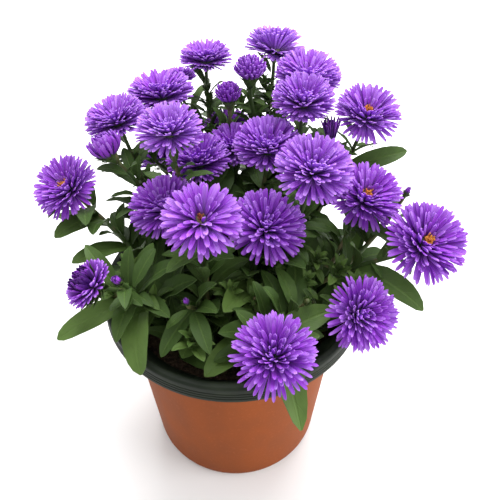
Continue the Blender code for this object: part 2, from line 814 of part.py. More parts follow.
def spiral_leaf(stem, root, way, length, turn, crowd, draw):
    """One leaf, turned, tipped or shortened until it fits among its neighbours."""
    side = way.orthogonal().normalized()
    other = way.cross(side)
    climb = draw.uniform(*LEAF_LIFT)
    for swing, tip_up, size in LEAF_WAYS:
        angle = turn + math.radians(swing)
        out = side * math.cos(angle) + other * math.sin(angle)
        lift = math.radians(climb + tip_up)
        reach = out * math.cos(lift) + way * math.sin(lift)
        tip = root + reach * (length * size)
        face = (Vector((0.0, 0.0, 1.2)) - out * 0.5 + way * 0.4).normalized()
        width = length * size * LEAF_WIDTH
        leaf = try_leaf(stem, root, tip, width, face, length * LEAF_ARCH, False, crowd)
        if leaf:
            return leaf
    return None


class Crowd:
    """Everything placed so far, to keep new petals and leaves clear of it."""

    def __init__(self):
        self.items = []

    def add(self, shape, owner):
        self.items.append((owner, corners_of(shape), BVHTree.FromPolygons(*shape)))

    def is_clear(self, shape, owner):
        low, high = corners_of(shape)
        tree = BVHTree.FromPolygons(*shape)
        for other, (other_low, other_high), other_tree in self.items:
            if other == owner:
                continue
            if any(low[axis] > other_high[axis] or high[axis] < other_low[axis] for axis in range(3)):
                continue
            if tree.overlap(other_tree):
                return False
        return True


def corners_of(shape):
    """Lowest and highest corner of a shape's box."""
    points = shape[0]
    low = Vector([min(point[axis] for point in points) for axis in range(3)])
    high = Vector([max(point[axis] for point in points) for axis in range(3)])
    return low, high


def shape_of(item):
    """Points and faces of an object that stands at the origin."""
    points = [point.co.copy() for point in item.data.vertices]
    return points, [tuple(face.vertices) for face in item.data.polygons]


def claim_places(frames, crowd):
    """Enter the stalks, cups, buds and cores first, because petals and leaves give way to them."""
    for name, shapes in frames.items():
        for shape in shapes:
            crowd.add(shape, name)
    for name in BLOOMS:
        core = head_width(name) * CORE_SHARE
        crowd.add(at_head(core_shape(CORE_RINGS, core, BLOOMS[name][6]), name), name)
    for name in HALF_BLOOMS:
        core = head_width(name) * CUP_SHARE
        crowd.add(at_head(core_shape(CUP_RINGS, core, CUP_COLUMNS), name), name)


def grow_leaves(name, paths, crowd):
    """The leaves of one stem and its branches, in spirals."""
    draw = random.Random(f"{SEED} {name}")
    leaves = leaves_along(name, paths[0][0], crowd, draw, STEM_DEPTH + FIRST_LEAF)
    for points, radii in paths[1:]:
        leaves += leaves_along(name, points, crowd, draw, FIRST_SIDE_LEAF)
    return leaves


def main():
    clear_scene()
    finishes = {name: make_material(name) for name in FINISHES}
    crowd = Crowd()
    pot = make_pot(finishes["terracotta_plastic"])
    lining = make_lining(finishes["dark_plastic"])
    soil = make_soil(finishes["potting_soil"])
    for item in (pot, lining, soil):
        crowd.add(shape_of(item), item.name)
    paths = {name: stem_paths(name) for name in STEMS}
    shapes = {name: stem_shapes(name, paths[name]) for name in STEMS}
    claim_places(shapes, crowd)
    for name in BLOOMS:
        make_bloom(name, crowd, finishes["aster_purple"], finishes["eye_yellow"])
    for name in HALF_BLOOMS:
        make_half_bloom(name, crowd, finishes["aster_purple"])
    for name in STEMS:
        shapes[name] += large_leaves(name, paths[name], crowd)
    for name in STEMS:
        shapes[name] += grow_leaves(name, paths[name], crowd)
        fuse(name, shapes[name], finishes["aster_green"])


main()
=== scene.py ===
"""Potted aster: fine petals, leaves, stalks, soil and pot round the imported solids.

Metres, +Z up. The origin is the centre of the pot's base and -Y is the plant's front.
"""

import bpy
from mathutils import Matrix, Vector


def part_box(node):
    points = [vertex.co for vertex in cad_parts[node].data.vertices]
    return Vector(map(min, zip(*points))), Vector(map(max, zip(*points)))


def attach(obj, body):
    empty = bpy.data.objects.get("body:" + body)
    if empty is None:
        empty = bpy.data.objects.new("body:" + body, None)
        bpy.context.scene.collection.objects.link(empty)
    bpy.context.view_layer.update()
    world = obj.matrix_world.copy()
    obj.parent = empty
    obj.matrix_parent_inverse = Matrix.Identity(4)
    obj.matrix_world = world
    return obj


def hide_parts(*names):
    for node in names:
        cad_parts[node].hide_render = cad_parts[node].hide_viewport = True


bl_info = {
    "name": "Potted Aster",
    "version": (1, 0, 0),
    "blender": (4, 5, 0),
    "location": "View3D > Sidebar > Aster",
    "description": "Builds a double purple aster in a two-layer nursery pot",
    "category": "Add Mesh",
}

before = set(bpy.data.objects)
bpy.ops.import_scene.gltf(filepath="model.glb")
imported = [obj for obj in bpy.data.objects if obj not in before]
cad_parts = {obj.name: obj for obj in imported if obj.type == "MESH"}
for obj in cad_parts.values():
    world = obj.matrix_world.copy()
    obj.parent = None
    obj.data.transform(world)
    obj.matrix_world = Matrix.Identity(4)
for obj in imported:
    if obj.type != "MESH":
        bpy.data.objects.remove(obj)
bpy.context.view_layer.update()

import math
import random

import bmesh
import bpy
from bpy.props import FloatProperty, FloatVectorProperty, IntProperty, PointerProperty
from mathutils import Matrix, Vector, geometry, noise
from mathutils.bvhtree import BVHTree

MM = 0.001
BODY = "root"
GOLDEN_ANGLE = math.radians(137.5)
MERGE = 0.00001
POT_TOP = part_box("pot")[1][2]
RIM_RADIUS, _, RIM_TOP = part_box("pot_lining")[1]
SOIL_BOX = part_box("soil")

# Heads: width in mm, azimuth and tilt in degrees of the way each solid faces, and its kind. Where
# each stands is read from its solid.
HEADS = {
    "bloom_front": (38, -92, 38, "full"),
    "bloom_right_low": (36, -60, 38, "full"),
    "bloom_right_far": (39, -75, 34, "open"),
    "bloom_right_mid": (37, -60, 20, "open"),
    "bloom_right_high": (35, -70, 14, "open"),
    "bloom_back_right": (33, -90, 10, "domed"),
    "bloom_back_right_high": (37, -60, 6, "low"),
    "bloom_top": (34, -80, 2, "fan"),
    "bloom_top_left": (30, 80, 4, "low"),
    "bloom_far_left": (21, 112, 15, "low"),
    "bloom_back_left": (37, 140, 6, "low"),
    "bloom_left_high": (33, 190, 14, "low"),
    "bloom_left_mid": (33, -100, 4, "bowl"),
    "bloom_inner_left": (35, -110, 6, "domed"),
    "bloom_inner_mid": (31, -90, 6, "domed"),
    "bloom_mid": (36, -90, 8, "domed"),
    "bloom_inner_back": (30, 95, 8, "domed"),
    "bloom_mid_right": (37, -60, 8, "bowl"),
    "bloom_centre_left": (38, -95, 22, "broad"),
    "bloom_centre": (39, -90, 22, "bowl"),
    "bloom_left_behind": (37, 195, 14, "bowl"),
    "bloom_left_out": (34, -140, 28, "open"),
    "bloom_low_right_back": (31, 48, 34, "domed"),
    "bloom_low_back": (29, 74, 38, "domed"),
    "bloom_low_left_back": (31, 118, 34, "domed"),
    "half_bloom_top": (25, 90, 4, "cup"),
    "half_bloom_mid": (21, 120, 8, "cup"),
    "half_bloom_left": (23, 178, 40, "globe"),
    "half_bloom_low": (30, -140, 50, "opening"),
}

# Buds are grown into their stem's solid: place and width in mm, azimuth and tilt in degrees, and
# how far the purple brush stands out of the green, in half widths.
BUDS = {
    "bud_low": (-52, -37, 162, 7, -120, 30, 0.9),
    "bud_dark": (52, 38, 190, 8, 20, 12, 2.6),
    "bud_right": (88, 11, 170, 5, 10, 20, 1.2),
    "bud_centre": (-22, -43, 153, 5, -90, 20, 1.0),
    "bud_inner": (34, -40, 148, 5, -60, 25, 0.0),
}

# Heads and buds whose petals face another way than their solid: azimuth and tilt in degrees.
FACINGS = {
    "bloom_top": (80, 19),
    "bloom_front": (-90, 19),
    "bloom_right_far": (-66, 28),
    "bloom_right_low": (-64, 46),
    "bloom_centre": (-66, 20),
    "bloom_centre_left": (-92, 17),
    "bloom_mid_right": (-76, 15),
    "half_bloom_low": (-176, 40),
    "half_bloom_left": (150, 24),
    "bud_dark": (180, 6),
}

# Painted shade and light for whole heads: how much darker all petals of a head are painted, as painted
# shade, or paler where it is below 0, as painted light.
PAINTED_HEAD_SHADING = {
    "half_bloom_top": 0.40, "half_bloom_mid": 0.80, "half_bloom_left": 0.35, "bloom_top": -0.50,
    "bloom_left_mid": -0.15, "bloom_mid_right": -0.10,
}

# Petal rings from the outside in, in half widths of the head: how many petals, how far out and
# how high each is rooted, its rise in degrees at root and tip, its length and its width.
PETAL_RINGS = {
    "full": (
        (40, 0.12, 0.09, 9, 0, 0.93, 0.098), (40, 0.13, 0.12, 18, 11, 0.92, 0.098),
        (36, 0.13, 0.16, 28, 24, 0.90, 0.096), (31, 0.12, 0.20, 39, 37, 0.83, 0.094),
        (25, 0.11, 0.23, 49, 50, 0.70, 0.090), (18, 0.09, 0.26, 59, 63, 0.54, 0.086),
        (12, 0.06, 0.28, 69, 80, 0.40, 0.080), (8, 0.04, 0.29, 80, 100, 0.30, 0.074),
    ),
    "domed": (
        (54, 0.10, 0.06, 17, 15, 0.96, 0.098), (52, 0.11, 0.09, 25, 25, 0.96, 0.098),
        (48, 0.11, 0.13, 33, 35, 0.96, 0.098), (42, 0.10, 0.16, 41, 44, 0.94, 0.096),
        (34, 0.09, 0.19, 49, 53, 0.88, 0.092), (22, 0.07, 0.21, 57, 62, 0.68, 0.082),
        (13, 0.05, 0.22, 67, 74, 0.43, 0.078), (8, 0.03, 0.23, 80, 92, 0.28, 0.074),
    ),
    "fan": (
        (54, 0.10, 0.06, 15, 10, 0.95, 0.104), (54, 0.11, 0.09, 23, 20, 0.96, 0.104),
        (50, 0.11, 0.13, 32, 31, 0.96, 0.102), (44, 0.10, 0.16, 41, 42, 0.94, 0.100),
        (36, 0.09, 0.19, 49, 52, 0.88, 0.096), (24, 0.07, 0.21, 57, 62, 0.72, 0.088),
        (14, 0.05, 0.22, 67, 74, 0.50, 0.080), (8, 0.03, 0.23, 80, 92, 0.34, 0.074),
    ),
    "bowl": (
        (44, 0.10, 0.06, 15, 11, 0.96, 0.102), (44, 0.11, 0.09, 24, 22, 0.96, 0.102),
        (40, 0.11, 0.13, 33, 33, 0.94, 0.100), (35, 0.10, 0.16, 42, 44, 0.89, 0.098),
        (27, 0.09, 0.19, 52, 55, 0.76, 0.094), (18, 0.07, 0.21, 62, 67, 0.56, 0.088),
        (11, 0.05, 0.22, 73, 82, 0.40, 0.080), (7, 0.03, 0.23, 84, 98, 0.31, 0.074),
    ),
    "open": (
        (42, 0.14, 0.08, 11, 5, 0.90, 0.106), (42, 0.15, 0.11, 20, 16, 0.90, 0.106),
        (38, 0.16, 0.15, 29, 27, 0.89, 0.104), (32, 0.16, 0.19, 39, 38, 0.83, 0.098),
        (22, 0.14, 0.22, 49, 49, 0.66, 0.090), (14, 0.13, 0.24, 58, 58, 0.42, 0.078),
        (10, 0.12, 0.25, 67, 66, 0.24, 0.066),
    ),
    "broad": (
        (28, 0.14, 0.09, 12, -2, 0.91, 0.134), (28, 0.15, 0.12, 22, 10, 0.91, 0.134),
        (25, 0.15, 0.16, 33, 24, 0.88, 0.128), (21, 0.14, 0.20, 44, 38, 0.77, 0.118),
        (16, 0.12, 0.23, 54, 52, 0.56, 0.104), (10, 0.11, 0.25, 63, 66, 0.36, 0.088),
    ),
    "cup": (
        (30, 0.26, 0.08, 32, 60, 0.66, 0.104), (30, 0.26, 0.12, 42, 68, 0.74, 0.104),
        (28, 0.23, 0.16, 52, 75, 0.80, 0.104), (26, 0.19, 0.20, 61, 81, 0.84, 0.100),
        (20, 0.14, 0.22, 70, 85, 0.84, 0.096), (14, 0.08, 0.24, 79, 89, 0.82, 0.092),
        (7, 0.03, 0.25, 87, 92, 0.80, 0.088),
    ),
    "globe": (
        (24, 0.20, 0.04, 14, 96, 1.10, 0.150), (24, 0.20, 0.08, 26, 108, 1.08, 0.150),
        (22, 0.18, 0.12, 40, 120, 1.00, 0.145), (17, 0.14, 0.16, 55, 128, 0.88, 0.140),
        (11, 0.08, 0.20, 74, 126, 0.76, 0.130),
    ),
    "opening": (
        (34, 0.22, 0.10, 10, 14, 0.64, 0.104), (34, 0.22, 0.13, 20, 28, 0.64, 0.104),
        (32, 0.22, 0.16, 31, 46, 0.61, 0.104), (26, 0.21, 0.19, 43, 92, 0.58, 0.100),
        (21, 0.18, 0.21, 55, 116, 0.56, 0.100), (15, 0.13, 0.22, 68, 126, 0.50, 0.096),
        (10, 0.07, 0.22, 82, 126, 0.44, 0.092),
    ),
}
PETAL_RINGS["low"] = tuple((*ring[:3], ring[3] * 0.78, ring[4] * 0.72, *ring[5:])
                           for ring in PETAL_RINGS["domed"])

# Half-open kinds, whose petals are thicker: how many of their outer rings are only lightly cupped.
HALF_OPEN = {"cup": 0, "globe": 0, "opening": 2}
FLAT_RINGS = 3
CUPPED = 0.26
LIGHTLY_CUPPED = 0.16
# Kinds with slender tips that stray more, and how many degrees the tips of each variant rise.
SLENDER_KINDS = ("full", "open", "broad")
VARIED_TIPS = (-8, 0, 9, 28)
EVEN_TIPS = (-4, 0, 4)
NEAR_VARIANT = 3
# Rings from this one inwards are painted darker, as painted shade deep in the dense middle of heads that
# have just begun to open.
SHADED_RINGS = {"opening": 3}
RING_SHADE_TONE = 1.3
# Degrees that petals sink on a head's low side, less for each ring inwards, and degrees that
# inner petals rise on its near side.
DROOP = {"full": 17.0, "fan": 30.0, "open": 12.0, "broad": 12.0, "bowl": 8.0}
CURL = {"domed": 11.0, "low": 10.0, "fan": 12.0, "bowl": 7.0}
LOW_WAY = (0.0, -0.4, -1.0)
NEAR_WAY = (0.0, -1.0, 1.0)
CALM_RINGS = 5
# Degrees that a petal bends away from a neighbour, and what is left of its length then.
BENDS = ((0, 1.0), (10, 1.0), (20, 0.95), (30, 0.88), (38, 0.75))
# Petals are painted paler from this height on, up to this much over this span, as painted light on the
# highest heads.
PAINTED_LIGHT_FROM = 0.165
PAINTED_LIGHT_SPAN = 0.030
PAINTED_LIGHT_MOST = 0.35
# How petals stray: in turn as shares of their spacing, in twist in degrees, in length and in width.
TURN_STRAY = (-0.26, 0.26)
TWIST_STRAY = 9.0
CALM_LENGTHS = (0.95, 1.01)
PETAL_LENGTHS = (0.90, 1.04)
PETAL_WIDTHS = (0.82, 1.10)
# Near petals of full and open heads bend up at the tip from this nearness on. On full heads they
# are shorter by this much for each of the outer rings.
NEAR_FROM = 0.3
NEAR_TRIM = 0.09
NEAR_RINGS = 4
# The dome that a head fills, in its half widths: radius and height.
DOME_RADIUS = 0.88
DOME_HEIGHT = 0.75

# The purple in a bud: how high it is rooted in half widths, how much darker it is, and its rings
# as petals, distance out in half widths and lean in degrees.
BUD_TIPS = {
    "brush": (-0.5, 0.4, ((15, 0.56, 13), (14, 0.46, 10), (12, 0.32, 6), (8, 0.18, 3), (4, 0.05, 0))),
    "bud": (0.7, 0.0, ((11, 0.58, -12), (10, 0.46, -13), (7, 0.30, -10), (4, 0.12, -4))),
}
# Petals in a bud: how far they reach down into the green in half widths, and how they stray in lean
# in degrees, in length and in how light they are.
BUD_ROOT = 0.5
BUD_LEANS = (-6.0, 6.0)
BUD_LENGTHS = (0.85, 1.1)
BUD_LIGHTS = (-0.8, 0.3)
# Eyes: radius and height in half widths of the head, and how much browner they are.
EYES = {"open": (0.090, 0.25, 0.0), "broad": (0.040, 0.19, 1.2)}
# How much an eye falls and its florets lean away from its middle, and how the florets stray in lean
# in degrees and in height.
EYE_FALL = 0.5
EYE_LEAN = 2.2
FLORET_LEANS = (-14, 14)
FLORET_HEIGHTS = (0.7, 1.15)

# Green scales under a head or round a bud, in half widths: how many, how far out and how high
# they are rooted, their rise in degrees, their length and their width.
HEAD_SCALES = ((9, 0.08, -0.16, 24, 0.42, 0.10), (10, 0.12, -0.05, 8, 0.44, 0.10))
SCALES = {
    "bud": ((7, 0.34, -0.25, 50, 1.15, 0.62), (8, 0.40, 0.05, 62, 1.15, 0.60),
            (8, 0.38, 0.30, 74, 1.0, 0.5)),
    "brush": ((9, 0.20, -0.95, 40, 0.80, 0.50), (9, 0.40, -0.75, 66, 0.70, 0.50)),
    "cup": ((9, 0.14, -0.20, 34, 0.50, 0.22), (9, 0.26, -0.04, 48, 0.46, 0.22)),
    "globe": ((9, 0.14, -0.18, 30, 0.60, 0.22), (9, 0.22, -0.02, 46, 0.60, 0.22)),
    "opening": ((9, 0.14, -0.18, 20, 0.60, 0.22), (9, 0.22, -0.02, 26, 0.60, 0.22)),
}
# How scales stray in turn, as shares of their spacing, and in rise in degrees, and how light they are.
SCALE_TURNS = (-0.2, 0.2)
SCALE_RISES = (-8, 8)
SCALE_LIGHTS = (0.2, 0.9)
# Outlines of the green body under the scales: radius and height in half widths.
HEAD_BODY = ((0.0, -0.30), (0.07, -0.30), (0.16, -0.14), (0.22, 0.06), (0.20, 0.22), (0.12, 0.30),
             (0.0, 0.32))
BODIES = {
    "bud": ((0.0, -0.62), (0.34, -0.56), (0.52, -0.1), (0.54, 0.5), (0.42, 1.1), (0.0, 1.4)),
    "brush": ((0.0, -1.00), (0.26, -0.96), (0.46, -0.70), (0.52, -0.36), (0.40, 0.2), (0.0, 0.5)),
    "cup": ((0.0, -0.46), (0.11, -0.46), (0.26, -0.22), (0.36, 0.02), (0.28, 0.22), (0.0, 0.30)),
    "globe": ((0.0, -0.46), (0.11, -0.46), (0.26, -0.20), (0.36, 0.06), (0.30, 0.26), (0.0, 0.32)),
    "opening": ((0.0, -0.46), (0.11, -0.46), (0.22, -0.20), (0.28, 0.06), (0.24, 0.22), (0.0, 0.28)),
}

# Stems: the first head ends the stem itself, and each other one a branch that leaves it at
# that share of its length.
STEMS = {
    "stem_front": (("bloom_front", 0), ("bud_inner", 0.55)),
    "stem_right_low": (("bloom_right_low", 0),),
    "stem_right": (("bloom_right_far", 0), ("bloom_right_mid", 0.40), ("bud_right", 0.52)),
    "stem_right_high": (("bloom_right_high", 0), ("bud_dark", 0.60), ("bloom_low_right_back", 0.30)),
    "stem_back_right": (("bloom_back_right_high", 0),),
    "stem_top": (("bloom_top", 0), ("half_bloom_top", 0.55), ("bloom_low_back", 0.30)),
    "stem_top_left": (("bloom_top_left", 0), ("half_bloom_mid", 0.50), ("bloom_inner_back", 0.30),
                      ("bloom_far_left", 0.55)),
    "stem_back_left": (("bloom_back_left", 0), ("bloom_low_left_back", 0.30)),
    "stem_left_high": (("bloom_left_high", 0), ("half_bloom_left", 0.55)),
    "stem_left_out": (("bloom_left_out", 0),),
    "stem_left_low": (("half_bloom_low", 0), ("bud_low", 0.62)),
    "stem_centre_left": (("bloom_centre_left", 0), ("bud_centre", 0.40)),
    "stem_left_behind": (("bloom_left_behind", 0),),
    "stem_left_mid": (("bloom_left_mid", 0), ("bloom_inner_left", 0.40)),
    "stem_mid": (("bloom_mid", 0), ("bloom_inner_mid", 0.35)),
    "stem_mid_right": (("bloom_mid_right", 0), ("bloom_back_right", 0.45)),
    "stem_centre": (("bloom_centre", 0),),
}
BUNCHES = {
    "front": ("stem_front", "stem_right_low", "stem_centre", "stem_left_low", "stem_centre_left",
              "stem_mid"),
    "right": ("stem_right", "stem_right_high", "stem_mid_right", "stem_back_right"),
    "left": ("stem_left_out", "stem_left_high", "stem_left_behind", "stem_left_mid", "stem_back_left"),
    "back": ("stem_top", "stem_top_left"),
}

# Large leaves that show: stem, share of the way up it, tip in mm, width in mm, way the upper
# face looks, how far the middle stands above the straight line in mm, and how light it is,
# which is painted light on leaves in front and painted shade on leaves behind.
LARGE_LEAVES = (
    ("stem_left_low", 0.66, (-45, -63, 127), 13, (-0.3, -0.8, 0.5), 4, 0.8),
    ("stem_left_low", 0.72, (-83, -50, 139), 10, (-0.2, -0.5, 0.9), 3, 0.8),
    ("stem_left_out", 0.60, (-80, -10, 150), 9, (-0.2, -0.4, 0.9), 3, 0.6),
    ("stem_left_out", 0.80, (-89, 0, 158), 10, (-0.3, -0.5, 0.8), 4, 0.6),
    ("stem_right_high", 0.76, (96, 46, 173), 9, (0.1, -0.6, 0.8), 3, 0.5),
    ("stem_right", 0.60, (92, -38, 139), 12, (0.3, -0.4, 0.9), 4, 0.5),
    ("stem_front", 0.45, (29, -89, 119), 13, (0.3, -0.6, 0.8), 12, 0.8),
    ("stem_front", 0.30, (-14, -62, 124), 13, (0.0, -0.3, 0.9), 5, 0.8),
    ("stem_centre_left", 0.35, (-25, -54, 128), 12, (-0.2, -0.7, 0.7), 4, 0.6),
    ("stem_centre", 0.55, (-4, -42, 147), 11, (0.0, -0.6, 0.8), 3, 0.9),
    ("stem_mid", 0.62, (32, 46, 158), 11, (0.0, -0.5, 0.9), 3, 0.1),
    ("stem_mid", 0.55, (6, 50, 156), 11, (0.0, -0.5, 0.9), 3, 0.1),
    ("stem_mid", 0.48, (20, 58, 150), 12, (0.0, -0.5, 0.9), 3, 0.0),
    ("stem_top", 0.55, (40, 62, 160), 11, (0.0, -0.5, 0.9), 3, 0.1),
    ("stem_top", 0.72, (30, 74, 176), 10, (0.0, -0.6, 0.8), 3, 0.1),
    ("stem_top", 0.80, (8, 82, 178), 9, (0.0, -0.6, 0.8), 3, 0.1),
    ("stem_mid_right", 0.70, (46, 34, 168), 10, (0.0, -0.5, 0.9), 3, 0.1),
    ("stem_left_mid", 0.60, (0, 46, 164), 13, (0.0, -0.6, 0.8), 3, 0.1),
    ("stem_mid", 0.42, (10, 62, 152), 14, (0.0, -0.6, 0.8), 3, 0.0),
    ("stem_top_left", 0.45, (2, 70, 146), 14, (0.0, -0.6, 0.8), 3, 0.0),
    ("stem_top", 0.45, (20, 66, 148), 14, (0.0, -0.6, 0.8), 3, 0.0),
    ("stem_back_right", 0.60, (30, 72, 176), 12, (0.0, -0.6, 0.8), 3, 0.1),
    ("stem_top", 0.66, (22, 76, 177), 12, (0.0, -0.6, 0.8), 3, 0.1),
)

# Side shoots that carry a rosette of young leaves: place of the rosette in mm, its longest leaf
# in mm and the width of the bud in its middle in mm.
SHOOTS = (
    (28, -10, 146, 13, 3.4), (36, -21, 143, 12, 0), (43, -9, 147, 11, 3.0), (53, -15, 145, 13, 3.6),
    (54, -31, 139, 12, 0), (-58, -30, 146, 14, 0), (-52, -11, 148, 12, 3.0), (-40, -33, 142, 14, 0),
    (-2, -26, 142, 13, 3.2), (10, -30, 141, 12, 0), (-20, -50, 136, 14, 0), (62, -24, 144, 12, 0),
    (-12, 24, 150, 12, 0), (-45, 42, 162, 13, 0), (60, 42, 165, 13, 0), (20, 76, 168, 13, 0),
    (-10, 78, 166, 13, 0), (55, 66, 160, 14, 0), (-44, 66, 158, 14, 0), (70, 22, 158, 12, 0),
    (7, 88, 180, 13, 0), (24, 98, 180, 13, 0), (-12, 98, 176, 13, 0), (32, 84, 176, 12, 0),
    (48, 58, 176, 12, 0), (60, 46, 174, 12, 3.0), (-8, 60, 172, 12, 0), (-52, 52, 168, 12, 0),
    (24, 56, 150, 20, 0), (16, 48, 152, 20, 0), (32, 50, 150, 20, 0), (8, 40, 150, 20, 0),
    (22, 72, 172, 16, 0), (21, 97, 188, 11, 0), (12, 92, 184, 12, 0), (30, 66, 172, 16, 0),
    (14, 66, 172, 16, 0), (38, 62, 168, 16, 0), (2, 74, 170, 16, 0), (40, 30, 150, 18, 0),
)

# A rosette: how its leaves rise in degrees from the outermost on, how much shorter the innermost
# are, how slim they are, how far below the rosette's place they start, and how they stray.
ROSETTE_RISE = 8
ROSETTE_RISE_SPAN = 60
ROSETTE_RISES = (-10, 10)
ROSETTE_SHORTER = 0.5
ROSETTE_LENGTHS = (0.8, 1.1)
ROSETTE_SLIMNESS = 0.40
ROSETTE_DEPTH = 0.007
ROSETTE_OUT = 0.0006
# Small rosettes in front are lighter, as young leaves and as painted light; the others are painted darker,
# as painted shade. A shoot leaves its stalk at least this far below its place.
SMALL_ROSETTE = 15
YOUNG_LIT_TONE = 0.50
SHADED_LIGHT = 0.15
LIGHT_SPAN = 0.45
SHOOT_CLIMB = 0.012

# Slanted open places between the stalks, each round a line between two points, with its radius,
# in mm.
OPENINGS = (
    ((43, -25, 190), (56, 44, 130), 6), ((47, -31, 190), (61, 34, 130), 5),
    ((57, -46, 190), (75, 17, 130), 7), ((-36, 18, 190), (-47, 102, 130), 7),
    ((-57, -22, 190), (-75, 48, 130), 6), ((-49, -45, 190), (-65, 18, 130), 5),
    ((-60, 0, 190), (-78, 76, 130), 6),
)

# Leaf outlines: droop, wave, twist and the power that moves the widest place.
LEAF_SHAPES = (
    (0.00, 0.010, 0.00, 0.95), (0.05, 0.016, 0.35, 1.05), (0.08, 0.012, -0.35, 0.90),
    (0.02, 0.022, 0.20, 1.10), (0.10, 0.014, -0.15, 1.00),
)
OVAL_SHAPE = (0.04, 0.008, 0.06, 1.14)
LANCE_FULLNESS = 0.58
OVAL_FULLNESS = 0.44
# The arch of each leaf kind, as a share of its length.
ARCHES = {"flat": 0.06, "arched": 0.12, "bowed": 0.24}
OVAL_ARCHES = {"oval_flat": 0.06, "oval_arched": 0.14, "oval_bowed": 0.24}
ARCHED_FROM = 0.09
BOWED_FROM = 0.18
# The two outlines of a solid's small leaf: how far along it and how wide, as shares, it is at its
# last corners. The tip of each falls by this share of its length.
SHORT_OUTLINE = (0.68, 0.92)
LONG_OUTLINE = (0.52, 1.0)
SHORT_RATIO = 0.7
TIP_FALL = 0.24
LEAST_EDGE = 0.004
# How much wider than in the solid a leaf is, and how light it is painted high up and low down: darker high
# up, as painted shade under the heads.
LEAF_WIDER = 1.12
LARGE_LEAF_WIDER = 1.15
SHADED_ABOVE = 0.150
SHADED_HIGH_TONE = 0.22
LOW_UNSHADED_TONE = 0.40
# How an added leaf is turned, lifted and shortened until it has room: degrees, degrees, share.
TRIES = ((0, 0, 1.0), (40, 0, 0.95), (-40, 5, 0.95), (80, 0, 0.85), (-80, 15, 0.8), (130, 10, 0.75),
         (180, 20, 0.6))
# Added leaves, in metres: how much of a stem or branch stays bare at its foot and under its head,
# how far above the soil they have their high length, and how they stray in length and in climb.
BARE_STEM = 0.024
BARE_BRANCH = 0.006
TALL = 0.075
LEAF_LENGTHS = (0.55, 1.1)
CLIMBS = (5.0, 50.0)
OFF_STALK = 0.0018
ADDED_LIGHT = 0.60
# Ground leaves, in metres and radians: how they stray from a stem's foot, and in length and rise.
GROUND_TURNS = (-2.2, 2.2)
GROUND_AWAY = (0.003, 0.024)
GROUND_REACH = 0.050
GROUND_DEPTH = 0.004
GROUND_LENGTHS = (0.028, 0.046)
GROUND_RISES = (1.0, 2.2)
# Where added leaves may end, in metres: anywhere above the free height, and below it no more than
# this far past the rim. Where they are low, or in front of the plant, they end inside the rim.
FREE_HEIGHT = 0.155
PAST_RIM = 0.012
LOW_ABOVE_RIM = 0.008
LOW_INSIDE_RIM = 0.006
FRONT = -0.030
FRONT_ABOVE_RIM = 0.020
FRONT_RIGHT_INSIDE = 0.012
FRONT_LEFT_INSIDE = 0.005
# A leaf covers a head where it ends this near: below its foot in metres, off its axis in half widths.
UNDER_HEAD = 0.002
ROUND_HEAD = 1.25
# What stays of a solid's leaf at most: where it ends high up, where it is long, where it is in front
# of the plant, and where it ends low outside the rim. Then the steps in which it is shortened.
HIGH_TIP = 0.174
HIGH_SHARE = 0.62
LONG_LEAF = 0.040
LONG_SHARE = 0.82
FRONT_TIP = 0.140
FRONT_LEAF = 0.030
FRONT_SHARE = 0.66
LOW_TIP = 0.132
LOW_SHARE = 0.70
SHORTENED = (1.0, 0.88, 0.76, 0.64, 0.52, 0.44)
LEAST_SHARE = 0.40
# Faces in which an added leaf, or a leaf of a side shoot, may cross other leaves.
CROSSED_FACES = 20
CROSSED_YOUNG = 30
GROUND_LEAVES = 22
SHOOT_LEAVES = 13
STALK_FINISH = 2
SUNK = 0.023
# Radius of stems at the soil, of branches where they start, and of both under the head.
STEM_RADIUS = 0.0019
BRANCH_RADIUS = 0.0013
NECK_RADIUS = 0.0010
NECK = 0.0045
# How far a stalk runs straight from its start and towards its end, as shares of their distance.
START_PULL = 0.40
END_PULL = 0.30

# Pot: how far the foot's rounding reaches in and up, the gap between the layers, the lip's
# thickness, grooves as shares of the skirt's height, and the ring of drain holes.
FOOT = 0.004
GAP = 0.0003
LIP_THICKNESS = 0.0023
GROOVES = (0.22, 0.40, 0.58)
GROOVE_HALF = 0.0005
GROOVE_DEPTH = 0.0004
HOLES = 4
HOLE_CIRCLE = 0.034
HOLE_RADIUS = 0.0035
HOLE_TURN = math.radians(4.0)
DRILL_DEPTH = 0.01
SOIL_RINGS = 34
SOIL_SEGMENTS = 120
# Crumbs of the compost: how fine and how high the lumps and the grains are.
LUMPS_FINE = 130.0
LUMPS_HIGH = 0.0016
GRAINS_FINE = 620.0
GRAINS_HIGH = 0.0007
# How far the compost lies below the top of its solid before the crumbs are added.
SOIL_BELOW = 0.003

# Lights: place, size in metres and power in watts. All look at the plant.
LIGHTS = {
    "key": ((0.12, 0.45, 1.10), 0.90, 23.0),
    "side": ((0.90, -0.30, 0.40), 0.60, 6.8),
    "fill": ((-0.10, -0.80, 0.95), 0.80, 0.9),
}
LIGHT_AIM = (0.0, 0.0, 0.12)
SKY_STRENGTH = 0.88
CAMERA_PLACE = (0.0, -0.2436, 0.3782)


class AsterPot(bpy.types.PropertyGroup):
    """Sizes and colours of the pot."""

    wall: FloatProperty(name="Wall", description="Thickness of one layer", default=0.0011, unit="LENGTH")
    skirt: FloatProperty(name="Skirt", description="Height of the dark skirt", default=0.0105, unit="LENGTH")
    lip: FloatProperty(name="Lip", description="Width of the flat lip", default=0.0038, unit="LENGTH")
    collar: FloatProperty(name="Collar", description="Height of the flared collar", default=0.0115,
                          unit="LENGTH")
    base_radius: FloatProperty(name="Base radius", description="Radius of the foot", default=0.050,
                               unit="LENGTH")
    body_radius: FloatProperty(name="Body radius", description="Radius under the rim", default=0.059,
                               unit="LENGTH")
    segments: IntProperty(name="Segments", description="Faces round the pot", default=96)
    clay: FloatVectorProperty(name="Clay", description="Colour of the outer layer", subtype="COLOR",
                              default=(0.236, 0.058, 0.0135))
    dark: FloatVectorProperty(name="Dark", description="Colour of the inner layer", subtype="COLOR",
                              default=(0.007, 0.011, 0.006))
    earth: FloatVectorProperty(name="Earth", description="Colour of the soil", subtype="COLOR",
                               default=(0.030, 0.020, 0.013))


